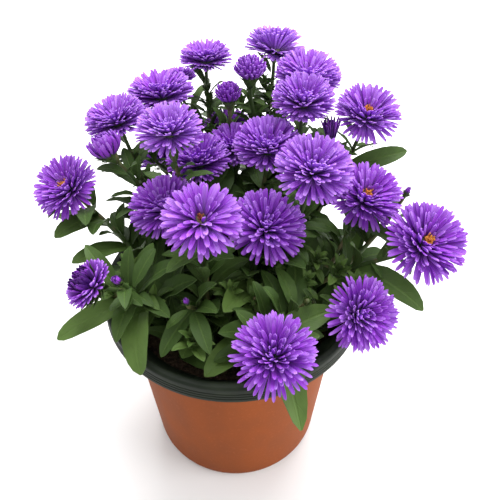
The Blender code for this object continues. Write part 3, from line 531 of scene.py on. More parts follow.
class AsterHeads(bpy.types.PropertyGroup):
    """Sizes and colours of the blooms and buds."""

    thickness: FloatProperty(name="Petal thickness", description="In half widths of the head",
                             default=0.018)
    unevenness: FloatProperty(name="Unevenness", description="How far petals stray, in degrees",
                              default=3.6)
    # Painted shade: the dark colour painted at a petal's root, where the petals above shade it.
    root_shade: FloatVectorProperty(name="Deep", description="Colour at a petal's root", subtype="COLOR",
                              default=(0.048, 0.004, 0.122))
    violet: FloatVectorProperty(name="Violet", description="Colour of a petal's middle", subtype="COLOR",
                                default=(0.256, 0.0375, 0.505))
    # Painted highlight: the pale colour painted towards a petal's tip and along its streaks.
    lilac_highlight: FloatVectorProperty(name="Lilac", description="Colour of a petal's tip", subtype="COLOR",
                               default=(0.515, 0.268, 0.805))
    gold: FloatVectorProperty(name="Gold", description="Colour of the eye's florets", subtype="COLOR",
                              default=(0.800, 0.400, 0.060))
    florets: IntProperty(name="Florets", description="Florets in an open eye", default=30)


class AsterLeaves(bpy.types.PropertyGroup):
    """Sizes and colours of the foliage."""

    spacing: FloatProperty(name="Spacing", description="Stalk between two added leaves", default=0.0034,
                           unit="LENGTH")
    low_length: FloatProperty(name="Low length", description="Length of the lowest leaves", default=0.046,
                              unit="LENGTH")
    high_length: FloatProperty(name="High length", description="Length near the heads", default=0.016,
                               unit="LENGTH")
    slimness: FloatProperty(name="Slimness", description="Width over length", default=0.36)
    thickness: FloatProperty(name="Leaf thickness", description="Share of a leaf's length", default=0.011)
    green: FloatVectorProperty(name="Green", description="Colour of a grown leaf", subtype="COLOR",
                               default=(0.036, 0.070, 0.014))
    # The colour of a young leaf, and also the painted highlight of a lit leaf.
    fresh_and_lit: FloatVectorProperty(name="Fresh", description="Colour of a young leaf", subtype="COLOR",
                               default=(0.088, 0.150, 0.032))
    pale: FloatVectorProperty(name="Pale", description="Colour under a leaf", subtype="COLOR",
                              default=(0.072, 0.114, 0.036))


class AsterStage(bpy.types.PropertyGroup):
    """Camera and light."""

    camera_pitch: FloatProperty(name="Pitch", description="Downward angle", default=math.radians(43.75),
                                subtype="ANGLE")
    camera_yaw: FloatProperty(name="Yaw", description="Turn to the right", default=math.radians(2.09),
                              subtype="ANGLE")
    lens: FloatProperty(name="Lens", description="Focal length in mm", default=46.8)
    floor: FloatVectorProperty(name="Floor", description="Colour of the floor", subtype="COLOR",
                               default=(0.90, 0.90, 0.90))


# Shaders
class Value:
    """A shader socket in an expression. Arithmetic on it adds Math nodes."""

    def __init__(self, finish, socket):
        self.finish = finish
        self.socket = socket

    def math(self, operation, *inputs):
        return self.finish.node("ShaderNodeMath", {"operation": operation}, dict(enumerate(inputs)))

    def __add__(self, other):
        return self.math("ADD", self, other)

    def __radd__(self, other):
        return self.math("ADD", other, self)

    def __sub__(self, other):
        return self.math("SUBTRACT", self, other)

    def __rsub__(self, other):
        return self.math("SUBTRACT", other, self)

    def __mul__(self, other):
        return self.math("MULTIPLY", self, other)

    def __rmul__(self, other):
        return self.math("MULTIPLY", other, self)

    def __pow__(self, other):
        return self.math("POWER", self, other)

    def __abs__(self):
        return self.math("ABSOLUTE", self)


class Finish:
    """A material on the Principled shader, and the one method that adds its nodes."""

    def __init__(self, name, **constants):
        self.material = bpy.data.materials.new(name)
        self.material.use_nodes = True
        self.tree = self.material.node_tree
        self.shader = self.tree.nodes["Principled BSDF"]
        for socket, value in constants.items():
            self.shader.inputs[socket.replace("_", " ")].default_value = value

    def node(self, kind, settings=None, sockets=None, output=0):
        """Add a node, with its settings first and then values or links on its sockets."""
        added = self.tree.nodes.new(kind)
        for key, value in (settings or {}).items():
            setattr(added, key, value)
        for key, value in (sockets or {}).items():
            if isinstance(value, Value):
                self.tree.links.new(value.socket, added.inputs[key])
            else:
                added.inputs[key].default_value = value
        return Value(self, added.outputs[output])

    def mix(self, factor, first, second):
        """A colour between two colours."""
        sockets = {0: factor, 6: shade_of(first), 7: shade_of(second)}
        return self.node("ShaderNodeMix", {"data_type": "RGBA"}, sockets, 2)

    def smooth(self, value, low, high):
        """0 below the first level, 1 above the second, and smooth between."""
        settings = {"interpolation_type": "SMOOTHSTEP"}
        return self.node("ShaderNodeMapRange", settings, {0: value, 1: low, 2: high})

    def noise(self, vector, scale, detail=3.0):
        return self.node("ShaderNodeTexNoise", {}, {"Vector": vector, "Scale": scale, "Detail": detail})

    def stretched(self, vector, scale):
        return self.node("ShaderNodeMapping", {}, {"Vector": vector, "Scale": scale})

    def position(self):
        return self.node("ShaderNodeTexCoord", output=3)

    def blade(self):
        """The blade's own map, then the way along it and the way across it."""
        flat = self.node("ShaderNodeUVMap", {"uv_map": "blade"})
        along, across = (self.node("ShaderNodeSeparateXYZ", {}, {0: flat}, part) for part in (0, 1))
        return flat, along, across

    def tone(self):
        """A number, mostly from 0 to 1, that each petal or leaf has of its own, and that also carries
        painted light and shade.
        """
        return self.node("ShaderNodeAttribute", {"attribute_name": "tone"}, output=2)

    def feed(self, socket, value):
        self.tree.links.new(value.socket, self.shader.inputs[socket])

    def bump(self, height, strength, distance):
        sockets = {"Height": height, "Strength": strength, "Distance": distance}
        self.feed("Normal", self.node("ShaderNodeBump", {}, sockets))


def shade_of(colour):
    """A colour as a socket takes it."""
    return colour if isinstance(colour, Value) else (*colour[:3], 1.0)


def petal_finish():
    """Violet petals with painted shade towards the root, painted lilac highlights towards the tip,
    painted highlights and shade along fine lengthwise streaks, and a little darker at the edges.

    A tone below 0 paints a petal towards the root's shaded colour: painted shade on the inner rings
    of a half-open head and on heads in shade, and the darker purple of a bud.
    """
    looks = bpy.context.scene.aster_heads
    finish = Finish("aster_petal", Roughness=0.55, Specular_IOR_Level=0.2, Subsurface_Weight=0.12,
                    Subsurface_Radius=(0.4, 0.15, 0.6), Subsurface_Scale=0.0015, Sheen_Weight=0.06)
    flat, along, across = finish.blade()
    tone = finish.tone()
    side = abs(across * 2.0 - 1.0)
    streaks = finish.noise(finish.stretched(flat, (1.6, 19.0, 1.0)), 1.0, 2.0)
    grown = finish.smooth(tone, -1.0, 0.0)
    # Painted shade: the root colour towards the root and on petals whose tone is below 0.
    body = finish.mix(finish.smooth(along, 0.02, 0.55) * grown, looks.root_shade, looks.violet)
    # Painted highlight: lighter towards the tip and along the streaks, darker at the edges, plus each
    # petal's tone, which carries painted light and shade of its head.
    tip = finish.smooth(along, 0.50, 1.0) * 0.34 - side ** 3.0 * 0.12
    light = tip + (streaks - 0.5) * 0.7 + tone * 0.42 - 0.03
    finish.feed("Base Color", finish.mix(finish.smooth(light, 0.0, 1.0), body, looks.lilac_highlight))
    ridges = finish.node("ShaderNodeMath", {"operation": "COSINE"}, {0: across * 18.8})
    finish.bump(ridges * 0.5 + streaks, 0.45, 0.00025)
    return finish.material


def eye_finish():
    """Golden florets, redder brown in places and on the browner eyes."""
    looks = bpy.context.scene.aster_heads
    finish = Finish("aster_eye", Roughness=0.6, Subsurface_Weight=0.1, Subsurface_Scale=0.001)
    grain = finish.noise(finish.position(), 900.0)
    tone = finish.tone()
    finish.feed("Base Color", finish.mix(grain * 0.5 + tone * 0.6 + 0.15, (0.24, 0.05, 0.04), looks.gold))
    return finish.material


def leaf_finish(name, is_upper):
    """A satin leaf with a pale midrib and faint side veins, or its paler underside."""
    looks = bpy.context.scene.aster_leaves
    finish = Finish(name, Specular_IOR_Level=0.18, Subsurface_Weight=0.06,
                    Subsurface_Radius=(0.2, 0.5, 0.1), Subsurface_Scale=0.001)
    _, along, across = finish.blade()
    tone = finish.tone()
    side = abs(across * 2.0 - 1.0)
    midrib = 1.0 - finish.smooth(side, 0.03, 0.16)
    slanted = along * 9.0 - side * 1.6
    veins = finish.node("ShaderNodeMath", {"operation": "PINGPONG"}, {0: slanted, 1: 0.5}) * 2.0
    vein = finish.smooth(veins, 0.82, 1.0) * (1.0 - side)
    blotches = finish.noise(finish.position(), 120.0)
    if is_upper:
        # Painted light: the tone mixes in the fresh colour, and for many leaves the tone holds painted light
        # and shade.
        body = finish.mix(finish.smooth(tone + (blotches - 0.5) * 0.5, 0.25, 1.05), looks.green, looks.fresh_and_lit)
        body = finish.mix(midrib * 0.38 + vein * 0.20, body, looks.fresh_and_lit)
    else:
        body = finish.mix(blotches * 0.6, looks.pale, looks.green)
        body = finish.mix(midrib * 0.7, body, looks.fresh_and_lit)
    finish.feed("Base Color", body)
    finish.feed("Roughness", blotches * 0.18 + 0.46)
    finish.bump(midrib * -1.0 - vein * 0.4 + blotches * 0.3, 0.5, 0.0004)
    return finish.material


def stalk_finish():
    """A green stalk, browner in places."""
    looks = bpy.context.scene.aster_leaves
    finish = Finish("aster_stalk", Roughness=0.55, Specular_IOR_Level=0.35)
    place = finish.stretched(finish.position(), (1.0, 1.0, 0.25))
    patches = finish.noise(place, 160.0)
    brown = finish.smooth(patches, 0.45, 0.75)
    finish.feed("Base Color", finish.mix(brown, looks.green, (0.16, 0.13, 0.06)))
    finish.bump(finish.noise(place, 900.0), 0.3, 0.0002)
    return finish.material


def clay_finish():
    """Matte terracotta-coloured plastic, faintly mottled and scuffed."""
    looks = bpy.context.scene.aster_pot
    finish = Finish("pot_clay", Specular_IOR_Level=0.1)
    place = finish.position()
    mottle = finish.noise(finish.stretched(place, (1.0, 1.0, 0.6)), 55.0, 5.0)
    speck = finish.noise(place, 650.0, 2.0)
    darker = tuple(part * 0.84 for part in looks.clay)
    lighter = (0.33, 0.095, 0.034)
    body = finish.mix(finish.smooth(mottle, 0.30, 0.72), darker, looks.clay)
    finish.feed("Base Color", finish.mix(finish.smooth(speck, 0.56, 0.80) * 0.35, body, lighter))
    finish.feed("Roughness", mottle * 0.25 + 0.50)
    finish.bump(speck * 0.6 + mottle, 0.25, 0.0003)
    return finish.material


def dark_finish():
    """Dark satin plastic with a dusty film."""
    looks = bpy.context.scene.aster_pot
    finish = Finish("pot_dark", Specular_IOR_Level=0.15)
    place = finish.position()
    film = finish.noise(finish.stretched(place, (1.0, 1.0, 3.0)), 70.0, 5.0)
    speck = finish.noise(place, 900.0, 2.0)
    dusty = (0.020, 0.027, 0.015)
    finish.feed("Base Color", finish.mix(finish.smooth(film, 0.40, 0.85), looks.dark, dusty))
    finish.feed("Roughness", film * 0.25 + 0.42)
    finish.bump(speck, 0.15, 0.0002)
    return finish.material


def soil_finish():
    """Dark crumbly compost."""
    looks = bpy.context.scene.aster_pot
    finish = Finish("pot_soil", Roughness=0.95, Specular_IOR_Level=0.2)
    place = finish.position()
    crumbs = finish.noise(place, 420.0, 6.0)
    fibres = finish.noise(finish.stretched(place, (1.0, 3.0, 1.0)), 260.0)
    body = finish.mix(finish.smooth(crumbs, 0.35, 0.70), looks.earth, (0.085, 0.055, 0.034))
    finish.feed("Base Color", finish.mix(finish.smooth(fibres, 0.68, 0.78) * 0.6, body, (0.22, 0.15, 0.09)))
    finish.bump(crumbs, 0.9, 0.0015)
    return finish.material


def floor_finish():
    looks = bpy.context.scene.aster_stage
    finish = Finish("stage_floor", Roughness=0.9, Specular_IOR_Level=0.1)
    finish.shader.inputs["Base Color"].default_value = shade_of(looks.floor)
    return finish.material


FINISHES = {
    "petal": petal_finish,
    "eye": eye_finish,
    "leaf": lambda: leaf_finish("aster_leaf", True),
    "underside": lambda: leaf_finish("aster_leaf_underside", False),
    "stalk": stalk_finish,
    "clay": clay_finish,
    "dark": dark_finish,
    "soil": soil_finish,
    "floor": floor_finish,
}
made_finishes = {}


def finish_named(name):
    """The material of that name, made when it is first asked for."""
    if name not in made_finishes:
        made_finishes[name] = FINISHES[name]()
    return made_finishes[name]


# Pieces
def shape_of(work, name):
    """The mesh of a bmesh, which is then freed."""
    mesh = bpy.data.meshes.new(name)
    work.to_mesh(mesh)
    work.free()
    return mesh


def placed(name, data):
    """An object in the scene."""
    item = bpy.data.objects.new(name, data)
    bpy.context.scene.collection.objects.link(item)
    return item


def show(name, work, finishes, nodes, round_angle):
    """Turn a bmesh into a finished piece that stands for some of the frame's nodes."""
    mesh = shape_of(work, name)
    for finish in finishes:
        mesh.materials.append(finish_named(finish))
    mesh.shade_smooth()
    mesh.set_sharp_from_angle(angle=math.radians(round_angle))
    piece = placed(name, mesh)
    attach(piece, BODY)
    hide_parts(*nodes)


def spun(outline, segments):
    """Turn an outline of (radius, height) pairs round Z. Both its ends lie on the axis."""
    work = bmesh.new()
    verts = [work.verts.new((radius, 0.0, height)) for radius, height in outline]
    edges = [work.edges.new(pair) for pair in zip(verts, verts[1:])]
    bmesh.ops.spin(work, geom=verts + edges, axis=(0, 0, 1), cent=(0, 0, 0), angle=math.tau,
                   steps=segments, use_merge=True)
    bmesh.ops.remove_doubles(work, verts=work.verts, dist=MERGE)
    bmesh.ops.recalc_face_normals(work, faces=work.faces)
    return work


def rounded(corner, before, after, radius, steps=3):
    """Points that round a corner of an outline between its two neighbours."""
    middle = Vector(corner)
    first = middle + (Vector(before) - middle).normalized() * radius
    last = middle + (Vector(after) - middle).normalized() * radius
    shares = [step / steps for step in range(steps + 1)]
    return [tuple(first * (1 - t) ** 2 + middle * (2 * t * (1 - t)) + last * t ** 2) for t in shares]


def rounded_outline(corners):
    """An outline whose corners are (radius, height, rounding); both ends lie on the axis."""
    outline = [corners[0][:2]]
    for before, corner, after in zip(corners, corners[1:], corners[2:]):
        if corner[2]:
            outline.extend(rounded(corner[:2], before[:2], after[:2], corner[2]))
        else:
            outline.append(corner[:2])
    outline.append(corners[-1][:2])
    return outline


def drilled(work):
    """Cut the ring of plain drain holes through a layer's floor."""
    body = placed("drilled", shape_of(work, "drilled"))
    cutters = bmesh.new()
    for number in range(HOLES):
        angle = math.tau * number / HOLES + HOLE_TURN
        place = Vector((HOLE_CIRCLE * math.cos(angle), HOLE_CIRCLE * math.sin(angle), 0.0))
        bmesh.ops.create_cone(cutters, cap_ends=True, segments=24, radius1=HOLE_RADIUS,
                              radius2=HOLE_RADIUS, depth=DRILL_DEPTH, matrix=Matrix.Translation(place))
    cutter = placed("drill", shape_of(cutters, "drill"))
    step = body.modifiers.new("Drill", "BOOLEAN")
    step.operation = "DIFFERENCE"
    step.object = cutter
    result = bmesh.new()
    result.from_object(body, bpy.context.evaluated_depsgraph_get())
    for item in (body, cutter):
        bpy.data.objects.remove(item, do_unlink=True)
    return result


def wall_radius(height, inset):
    """Radius of the tapered wall at a height, less an inset."""
    looks = bpy.context.scene.aster_pot
    return looks.base_radius + (looks.body_radius - looks.base_radius) * (height / POT_TOP) - inset


def foot_points(inset):
    """Where the floor and the lower wall start, this far inside the pot's outside."""
    foot = bpy.context.scene.aster_pot.base_radius - inset - FOOT
    return (foot, inset), (wall_radius(inset + FOOT, inset), inset + FOOT)


def make_layer(name, corners, finish, node):
    """One layer of the pot, from the corners of its outline."""
    layer = spun(rounded_outline(corners), bpy.context.scene.aster_pot.segments)
    show(name, drilled(layer), [finish], [node], 32.0)


def make_pot():
    """The terracotta-coloured outer layer."""
    looks = bpy.context.scene.aster_pot
    wall = looks.wall
    floor, lower_wall = foot_points(wall)
    corners = [
        (0.0, 0.0, 0), (looks.base_radius - FOOT, 0.0, 0.0012),
        (looks.base_radius - 0.0009, 0.0014, 0.0008), (wall_radius(FOOT, 0.0), FOOT, 0.0014),
        (wall_radius(POT_TOP, 0.0), POT_TOP, 0.0004), (wall_radius(POT_TOP, wall), POT_TOP, 0.0004),
        (*lower_wall, 0.002), (*floor, 0.002), (0.0, wall, 0),
    ]
    make_layer("pot_clay_layer", corners, "clay", "pot")


def make_lining():
    """The dark inner layer: wall, flared collar, flat lip and grooved skirt."""
    looks = bpy.context.scene.aster_pot
    outer = looks.wall + GAP
    inner = outer + looks.wall
    floor, lower_wall = foot_points(outer)
    inner_floor, inner_wall = foot_points(inner)
    collar_foot = RIM_TOP - looks.collar
    under_lip = RIM_TOP - LIP_THICKNESS
    skirt_foot = RIM_TOP - looks.skirt
    inside_skirt = RIM_RADIUS - looks.wall
    lip = RIM_RADIUS - looks.lip
    corners = [
        (0.0, outer, 0), (*floor, 0.001), (*lower_wall, 0.001),
        (wall_radius(collar_foot, outer), collar_foot, 0.001), (lip, under_lip, 0.0005),
        (inside_skirt, under_lip, 0.0004), (inside_skirt, skirt_foot, 0.0003),
        (RIM_RADIUS, skirt_foot, 0.0003),
    ]
    for share in GROOVES:
        height = skirt_foot + (RIM_TOP - skirt_foot) * share
        corners += [(RIM_RADIUS, height - GROOVE_HALF, 0), (RIM_RADIUS - GROOVE_DEPTH, height, 0),
                    (RIM_RADIUS, height + GROOVE_HALF, 0)]
    corners += [
        (RIM_RADIUS, RIM_TOP - 0.0010, 0.0006), (RIM_RADIUS - 0.0010, RIM_TOP, 0.0006),
        (lip, RIM_TOP, 0.0009), (wall_radius(collar_foot, inner), collar_foot, 0.0015),
        (*inner_wall, 0.001), (*inner_floor, 0.001), (0.0, inner, 0),
    ]
    make_layer("pot_dark_layer", corners, "dark", "pot_lining")


def make_soil():
    """Crumbly compost that fills the lining."""
    inset = bpy.context.scene.aster_pot.wall * 2 + GAP * 2
    middle = (SOIL_BOX[0][2] + SOIL_BOX[1][2]) / 2
    top = SOIL_BOX[1][2] - SOIL_BELOW
    wall = wall_radius(top, inset)
    outline = [(0.0, inset), *foot_points(inset), (wall, top)]
    outline += [(wall * (SOIL_RINGS - ring) / SOIL_RINGS, top) for ring in range(1, SOIL_RINGS)]
    outline.append((0.0, top))
    body = spun(outline, SOIL_SEGMENTS)
    for vert in body.verts:
        if vert.co.z > middle and math.hypot(vert.co.x, vert.co.y) < wall - MM:
            lumps = noise.fractal(vert.co * LUMPS_FINE, 1.0, 2.0, 4)
            grains = noise.noise(vert.co * GRAINS_FINE)
            vert.co.z += lumps * LUMPS_HIGH + grains * GRAINS_HIGH
    show("potting_compost", body, ["soil"], ["soil"], 80.0)


# Blades
def new_work():
    """An empty bmesh with the layers that every blade has."""
    work = bmesh.new()
    work.loops.layers.uv.new("blade")
    work.verts.layers.float.new("tone")
    return work


def new_sheet(along, across):
    """A flat grid of side 1, mapped along and across."""
    work = new_work()
    bmesh.ops.create_grid(work, x_segments=along, y_segments=across, size=0.5, calc_uvs=True)
    return work


def gathered(x):
    """The way along a sheet, from 0 to 1, with its rows closer together at the tip."""
    return 1.0 - (0.5 - x) ** 1.4


def finished_blade(name, work, thickness, is_leaf=False):
    """Give a sheet its thickness and store it as a mesh to copy."""
    upper = list(work.faces)
    bmesh.ops.recalc_face_normals(work, faces=upper)
    if sum(face.normal.z * face.calc_area() for face in upper) < 0.0:
        bmesh.ops.reverse_faces(work, faces=upper)
    facing_up = set(upper)
    bmesh.ops.solidify(work, geom=upper, thickness=thickness)
    bmesh.ops.recalc_face_normals(work, faces=work.faces)
    if is_leaf:
        for face in work.faces:
            face.material_index = 0 if face in facing_up else 1
    return shape_of(work, name)


def add_copy(work, template, matrix, tone, material_index=None):
    """Add a copy of a template to a piece, with a tone of its own."""
    first_vert = len(work.verts)
    first_face = len(work.faces)
    copy = template.copy()
    copy.transform(matrix)
    work.from_mesh(copy)
    bpy.data.meshes.remove(copy)
    work.verts.ensure_lookup_table()
    layer = work.verts.layers.float["tone"]
    for vert in work.verts[first_vert:]:
        vert[layer] = tone
    if material_index is not None:
        paint(work, first_face, material_index)


def paint(work, first_face, material_index):
    """Give the faces from this one on a material of the piece."""
    work.faces.ensure_lookup_table()
    for face in work.faces[first_face:]:
        face.material_index = material_index


def outwards(turn):
    """A level direction."""
    return Vector((math.cos(turn), math.sin(turn), 0.0))


def rooted(turn, out, height):
    """A place at a turn round the axis, so far out and so high."""
    return Matrix.Rotation(turn, 4, "Z") @ Matrix.Translation((out, 0.0, height))


def stretched(x, y, z):
    """Sizes along the three axes, as a matrix."""
    return Matrix.Diagonal((x, y, z, 1.0))


def clamped(value):
    """A value kept between 0 and 1."""
    return min(max(value, 0.0), 1.0)


# Heads
def way_of(azimuth, tilt):
    """A direction from its azimuth and its tilt off the vertical, in degrees."""
    turn = math.radians(azimuth)
    lean = math.radians(tilt)
    return Vector((math.cos(turn) * math.sin(lean), math.sin(turn) * math.sin(lean), math.cos(lean)))


class Head:
    """Where a head or bud stands, the way it faces and how wide it is."""

    def __init__(self, name):
        self.name = name
        if name in BUDS:
            x, y, z, width, azimuth, tilt, self.brush = BUDS[name]
            self.kind = "brush" if self.brush > 2.0 else "bud"
        else:
            width, azimuth, tilt, self.kind = HEADS[name]
        self.axis = way_of(azimuth, tilt)
        self.half = width * MM / 2
        self.place = Vector((x, y, z)) * MM if name in BUDS else self.foot_of_solid()
        self.stand = self.matrix(self.axis)
        self.petal_stand = self.matrix(way_of(*FACINGS[name]) if name in FACINGS else self.axis)

    def foot_of_solid(self):
        """The middle of the solid's flat foot: its lowest points along the head's axis."""
        points = [vert.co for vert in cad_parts[self.name].data.vertices]
        low = min(point.dot(self.axis) for point in points)
        places = {tuple(round(part, 5) for part in point) for point in points
                  if point.dot(self.axis) < low + 0.00004}
        return sum((Vector(place) for place in places), Vector()) / len(places)

    def matrix(self, way):
        """From half widths of an upright head to where this one stands."""
        turn = way.to_track_quat("Z", "Y").to_matrix().to_4x4()
        return Matrix.Translation(self.place) @ turn @ Matrix.Scale(self.half, 4)

    def split(self, point):
        """How far a point lies above the head's foot and how far off its axis."""
        way = point - self.place
        high = way.dot(self.axis)
        return high, (way - self.axis * high).length


def arc(rise, bend, share):
    """Point on an arc of length 1 that starts at one rise and bends by an angle, in radians."""
    if abs(bend) < 0.01:
        return Vector((math.cos(rise) * share, 0.0, math.sin(rise) * share))
    now = rise + bend * share
    return Vector(((math.sin(now) - math.sin(rise)) / bend, 0.0, (math.cos(rise) - math.cos(now)) / bend))


def petal_template(name, rise_degrees, tip_degrees, length, width, cup, thickness, point):
    """One petal: a grid bent along an arc and cupped across, with a rounded tip.

    The point says how slender the tip is, from 0 for square to 1 for sharp.
    """
    rise = math.radians(rise_degrees)
    bend = math.radians(tip_degrees) - rise
    root_width = 0.40
    shoulder = 0.68
    square_tip = 0.16
    slender_tip = 0.76
    work = new_sheet(6, 2)
    for vert in work.verts:
        share = gathered(vert.co.x)
        across = vert.co.y * 2.0
        spread = root_width + (1.0 - root_width) * min(share * 2.0, 1.0) ** 0.8
        if share > shoulder:
            narrowing = ((share - shoulder) / (1.0 - shoulder)) ** 2.2
            spread *= 1.0 - (square_tip + slender_tip * point) * narrowing
        if share > 0.99:
            share -= point * abs(across) * width / length
        slope = rise + bend * share
        normal = Vector((-math.sin(slope), 0.0, math.cos(slope)))
        vert.co = arc(rise, bend, share) * length + normal * (cup * across * across * width * spread)
        vert.co.y = across * width * spread / 2
    return finished_blade(name, work, thickness)


class PetalKit:
    """The petals of each ring, in a few shapes each, made when first asked for and copied."""

    def __init__(self):
        self.templates = {}

    def petal(self, kind, ring, variant):
        key = (kind, ring, variant)
        if key not in self.templates:
            rise, tip, length, width = PETAL_RINGS[kind][ring][3:]
            slender = kind in SLENDER_KINDS
            tip += VARIED_TIPS[variant] if slender or ring > 2 else EVEN_TIPS[variant]
            cup = LIGHTLY_CUPPED if ring < HALF_OPEN.get(kind, FLAT_RINGS) else CUPPED
            thickness = bpy.context.scene.aster_heads.thickness * (1.5 if kind in HALF_OPEN else 1.0)
            self.templates[key] = petal_template(f"{kind}_{ring}_{variant}", rise, tip, length, width, cup,
                                                 thickness, 0.38 if slender else 0.24)
        return self.templates[key]

    def clear(self):
        for template in self.templates.values():
            bpy.data.meshes.remove(template)


def side_towards(stand, way):
    """The turn round a head at which its petals point most along a way."""
    local = stand.to_3x3().inverted() @ Vector(way)
    return math.atan2(local.y, local.x)


def grow_head(work, head, kit, neighbours):
    """All rings of one head's petals."""
    draw = random.Random(head.name)
    unevenness = bpy.context.scene.aster_heads.unevenness
    low_side = side_towards(head.petal_stand, LOW_WAY)
    near_side = side_towards(head.petal_stand, NEAR_WAY)
    droop = DROOP.get(head.kind, 0.0)
    curl = CURL.get(head.kind, 0.0)
    # Painted light and shade: heads high up get paler petals, and some heads darker or paler petals of their
    # own.
    pale = PAINTED_LIGHT_MOST * clamped((head.place.z - PAINTED_LIGHT_FROM) / PAINTED_LIGHT_SPAN) - PAINTED_HEAD_SHADING.get(head.name, 0.0)
    for ring, (count, out, height, rise, tip, length, _) in enumerate(PETAL_RINGS[head.kind]):
        calm = ring < CALM_RINGS and head.kind != "full"
        # Painted shade: the inner rings of a half-open head get darker petals.
        dark = RING_SHADE_TONE if ring >= SHADED_RINGS.get(head.kind, len(PETAL_RINGS[head.kind])) else 0.0
        middle = math.radians((rise + tip) / 2)
        reach = Vector((length * math.cos(middle), 0.0, length * math.sin(middle)))
        offset = draw.random()
        for number in range(count):
            turn = math.tau * (number + offset + draw.uniform(*TURN_STRAY)) / count
            low = max(math.cos(turn - low_side), 0.0)
            near = max(math.cos(turn - near_side), 0.0)
            lift = math.radians(draw.gauss(0.0, unevenness) * (0.5 if calm else 1.0))
            lift += math.radians(curl * near if curl and ring > 1 else -droop * low / (ring + 1))
            twist = math.radians(draw.gauss(0.0, TWIST_STRAY))
            size = draw.uniform(*(CALM_LENGTHS if calm else PETAL_LENGTHS))
            variant = draw.randrange(3)
            if near > NEAR_FROM and ring and head.kind in ("full", "open"):
                variant = NEAR_VARIANT
            if head.kind == "full" and ring < NEAR_RINGS:
                size *= 1.0 - NEAR_TRIM * near * ring
            tone = draw.random() + pale - dark
            tail = Matrix.Rotation(twist, 4, "X") @ stretched(size, draw.uniform(*PETAL_WIDTHS), size)
            for bend, trim in BENDS:
                lean = Matrix.Rotation(-lift - math.radians(bend), 4, "Y")
                place = head.petal_stand @ rooted(turn, out, height) @ lean @ Matrix.Scale(trim, 4)
                if not inside_neighbour(place @ reach, head, neighbours):
                    break
            add_copy(work, kit.petal(head.kind, ring, variant), place @ tail, tone)


def inside_neighbour(point, head, neighbours):
    """True where a petal's tip would end inside the dome of another head."""
    for other in neighbours:
        if other is head or (point - other.place).length > other.half:
            continue
        high, out = other.split(point)
        across = out / (other.half * DOME_RADIUS)
        up = high / (other.half * DOME_HEIGHT)
        if high > 0.0 and across ** 2 + up ** 2 < 1.0:
            return True
    return False


def grow_bud_tip(work, head, kit):
    """The closed purple brush that shows out of a bud."""
    draw = random.Random(head.name)
    foot, darker, rings = BUD_TIPS[head.kind]
    for ring, (count, out, rise) in enumerate(rings):
        for number in range(count):
            turn = math.tau * (number + 0.5 * ring) / count
            lean = Matrix.Rotation(math.radians(rise + draw.uniform(*BUD_LEANS)), 4, "Y")
            tall = (head.brush + BUD_ROOT) * draw.uniform(*BUD_LENGTHS)
            place = head.petal_stand @ rooted(turn, out, foot) @ lean @ stretched(tall, 2.0, tall)
            add_copy(work, kit.petal("cup", 6, 1), place, draw.uniform(*BUD_LIGHTS) - darker)


def make_blooms():
    """The petals of each bunch's heads and buds."""
    heads = {name: Head(name) for name in HEADS}
    kit = PetalKit()
    for bunch, stems in BUNCHES.items():
        work = new_work()
        names = [name for stem in stems for name, _ in STEMS[stem]]
        for name in names:
            if name in HEADS:
                grow_head(work, heads[name], kit, list(heads.values()))
            elif Head(name).brush:
                grow_bud_tip(work, Head(name), kit)
        nodes = [name for name in names if name in HEADS]
        show(f"blooms_{bunch}", work, ["petal"], nodes, 75.0)
    kit.clear()


def floret_template():
    """A tiny tube that is open at its top."""
    work = new_work()
    bmesh.ops.create_cone(work, cap_ends=True, segments=6, radius1=0.010, radius2=0.020, depth=0.22,
                          matrix=Matrix.Translation((0.0, 0.0, 0.11)))
    tops = [face for face in work.faces if face.normal.z > 0.9]
    bmesh.ops.inset_individual(work, faces=tops, thickness=0.006, depth=-0.015)
    return shape_of(work, "floret")


def make_eyes():
    """Golden florets that stand close together in the heads that are fully open."""
    florets = bpy.context.scene.aster_heads.florets
    work = new_work()
    template = floret_template()
    names = [name for name in HEADS if HEADS[name][3] in EYES]
    for name in names:
        head = Head(name)
        radius, height, browner = EYES[head.kind]
        draw = random.Random(name + " eye")
        for number in range(florets):
            reach = radius * math.sqrt((number + 0.5) / florets)
            turn = GOLDEN_ANGLE * number
            foot = outwards(turn) * reach + Vector((0.0, 0.0, height - reach * EYE_FALL))
            lean = Matrix.Rotation(math.radians(draw.uniform(*FLORET_LEANS)) + reach * EYE_LEAN, 4,
                                   Vector((-math.sin(turn), math.cos(turn), 0.0)))
            size = stretched(1.0, 1.0, draw.uniform(*FLORET_HEIGHTS))
            place = head.petal_stand @ Matrix.Translation(foot) @ lean @ size
            add_copy(work, template, place, draw.random() - browner)
    bpy.data.meshes.remove(template)
    nodes = [name.replace("bloom", "eye") for name in names]
    show("golden_eyes", work, ["eye"], nodes, 40.0)


# Stalks
def bezier(start, start_way, end, end_way, count):
    """Points on a smooth path that leaves one end and reaches the other along given ways."""
    span = (end - start).length
    first = start + start_way * (span * START_PULL)
    last = end - end_way * (span * END_PULL)
    points = []
    for step in range(count + 1):
        t = step / count
        u = 1.0 - t
        points.append(start * u ** 3 + first * (3 * u * u * t) + last * (3 * u * t * t) + end * t ** 3)
    return points


def path_length(points):
    return sum((after - before).length for before, after in zip(points, points[1:]))


def along_path(points, share):
    """Point and direction at a share of a path's length."""
    left = share * path_length(points)
    for before, after in zip(points, points[1:]):
        length = (after - before).length
        if left <= length or after is points[-1]:
            way = (after - before).normalized()
            return before + way * left, way
        left -= length
    raise ValueError("a path needs two points")


def stalk_end(head):
    """Where the stalk ends under a head."""
    return head.place if head.name in BUDS else head.place - head.axis * NECK


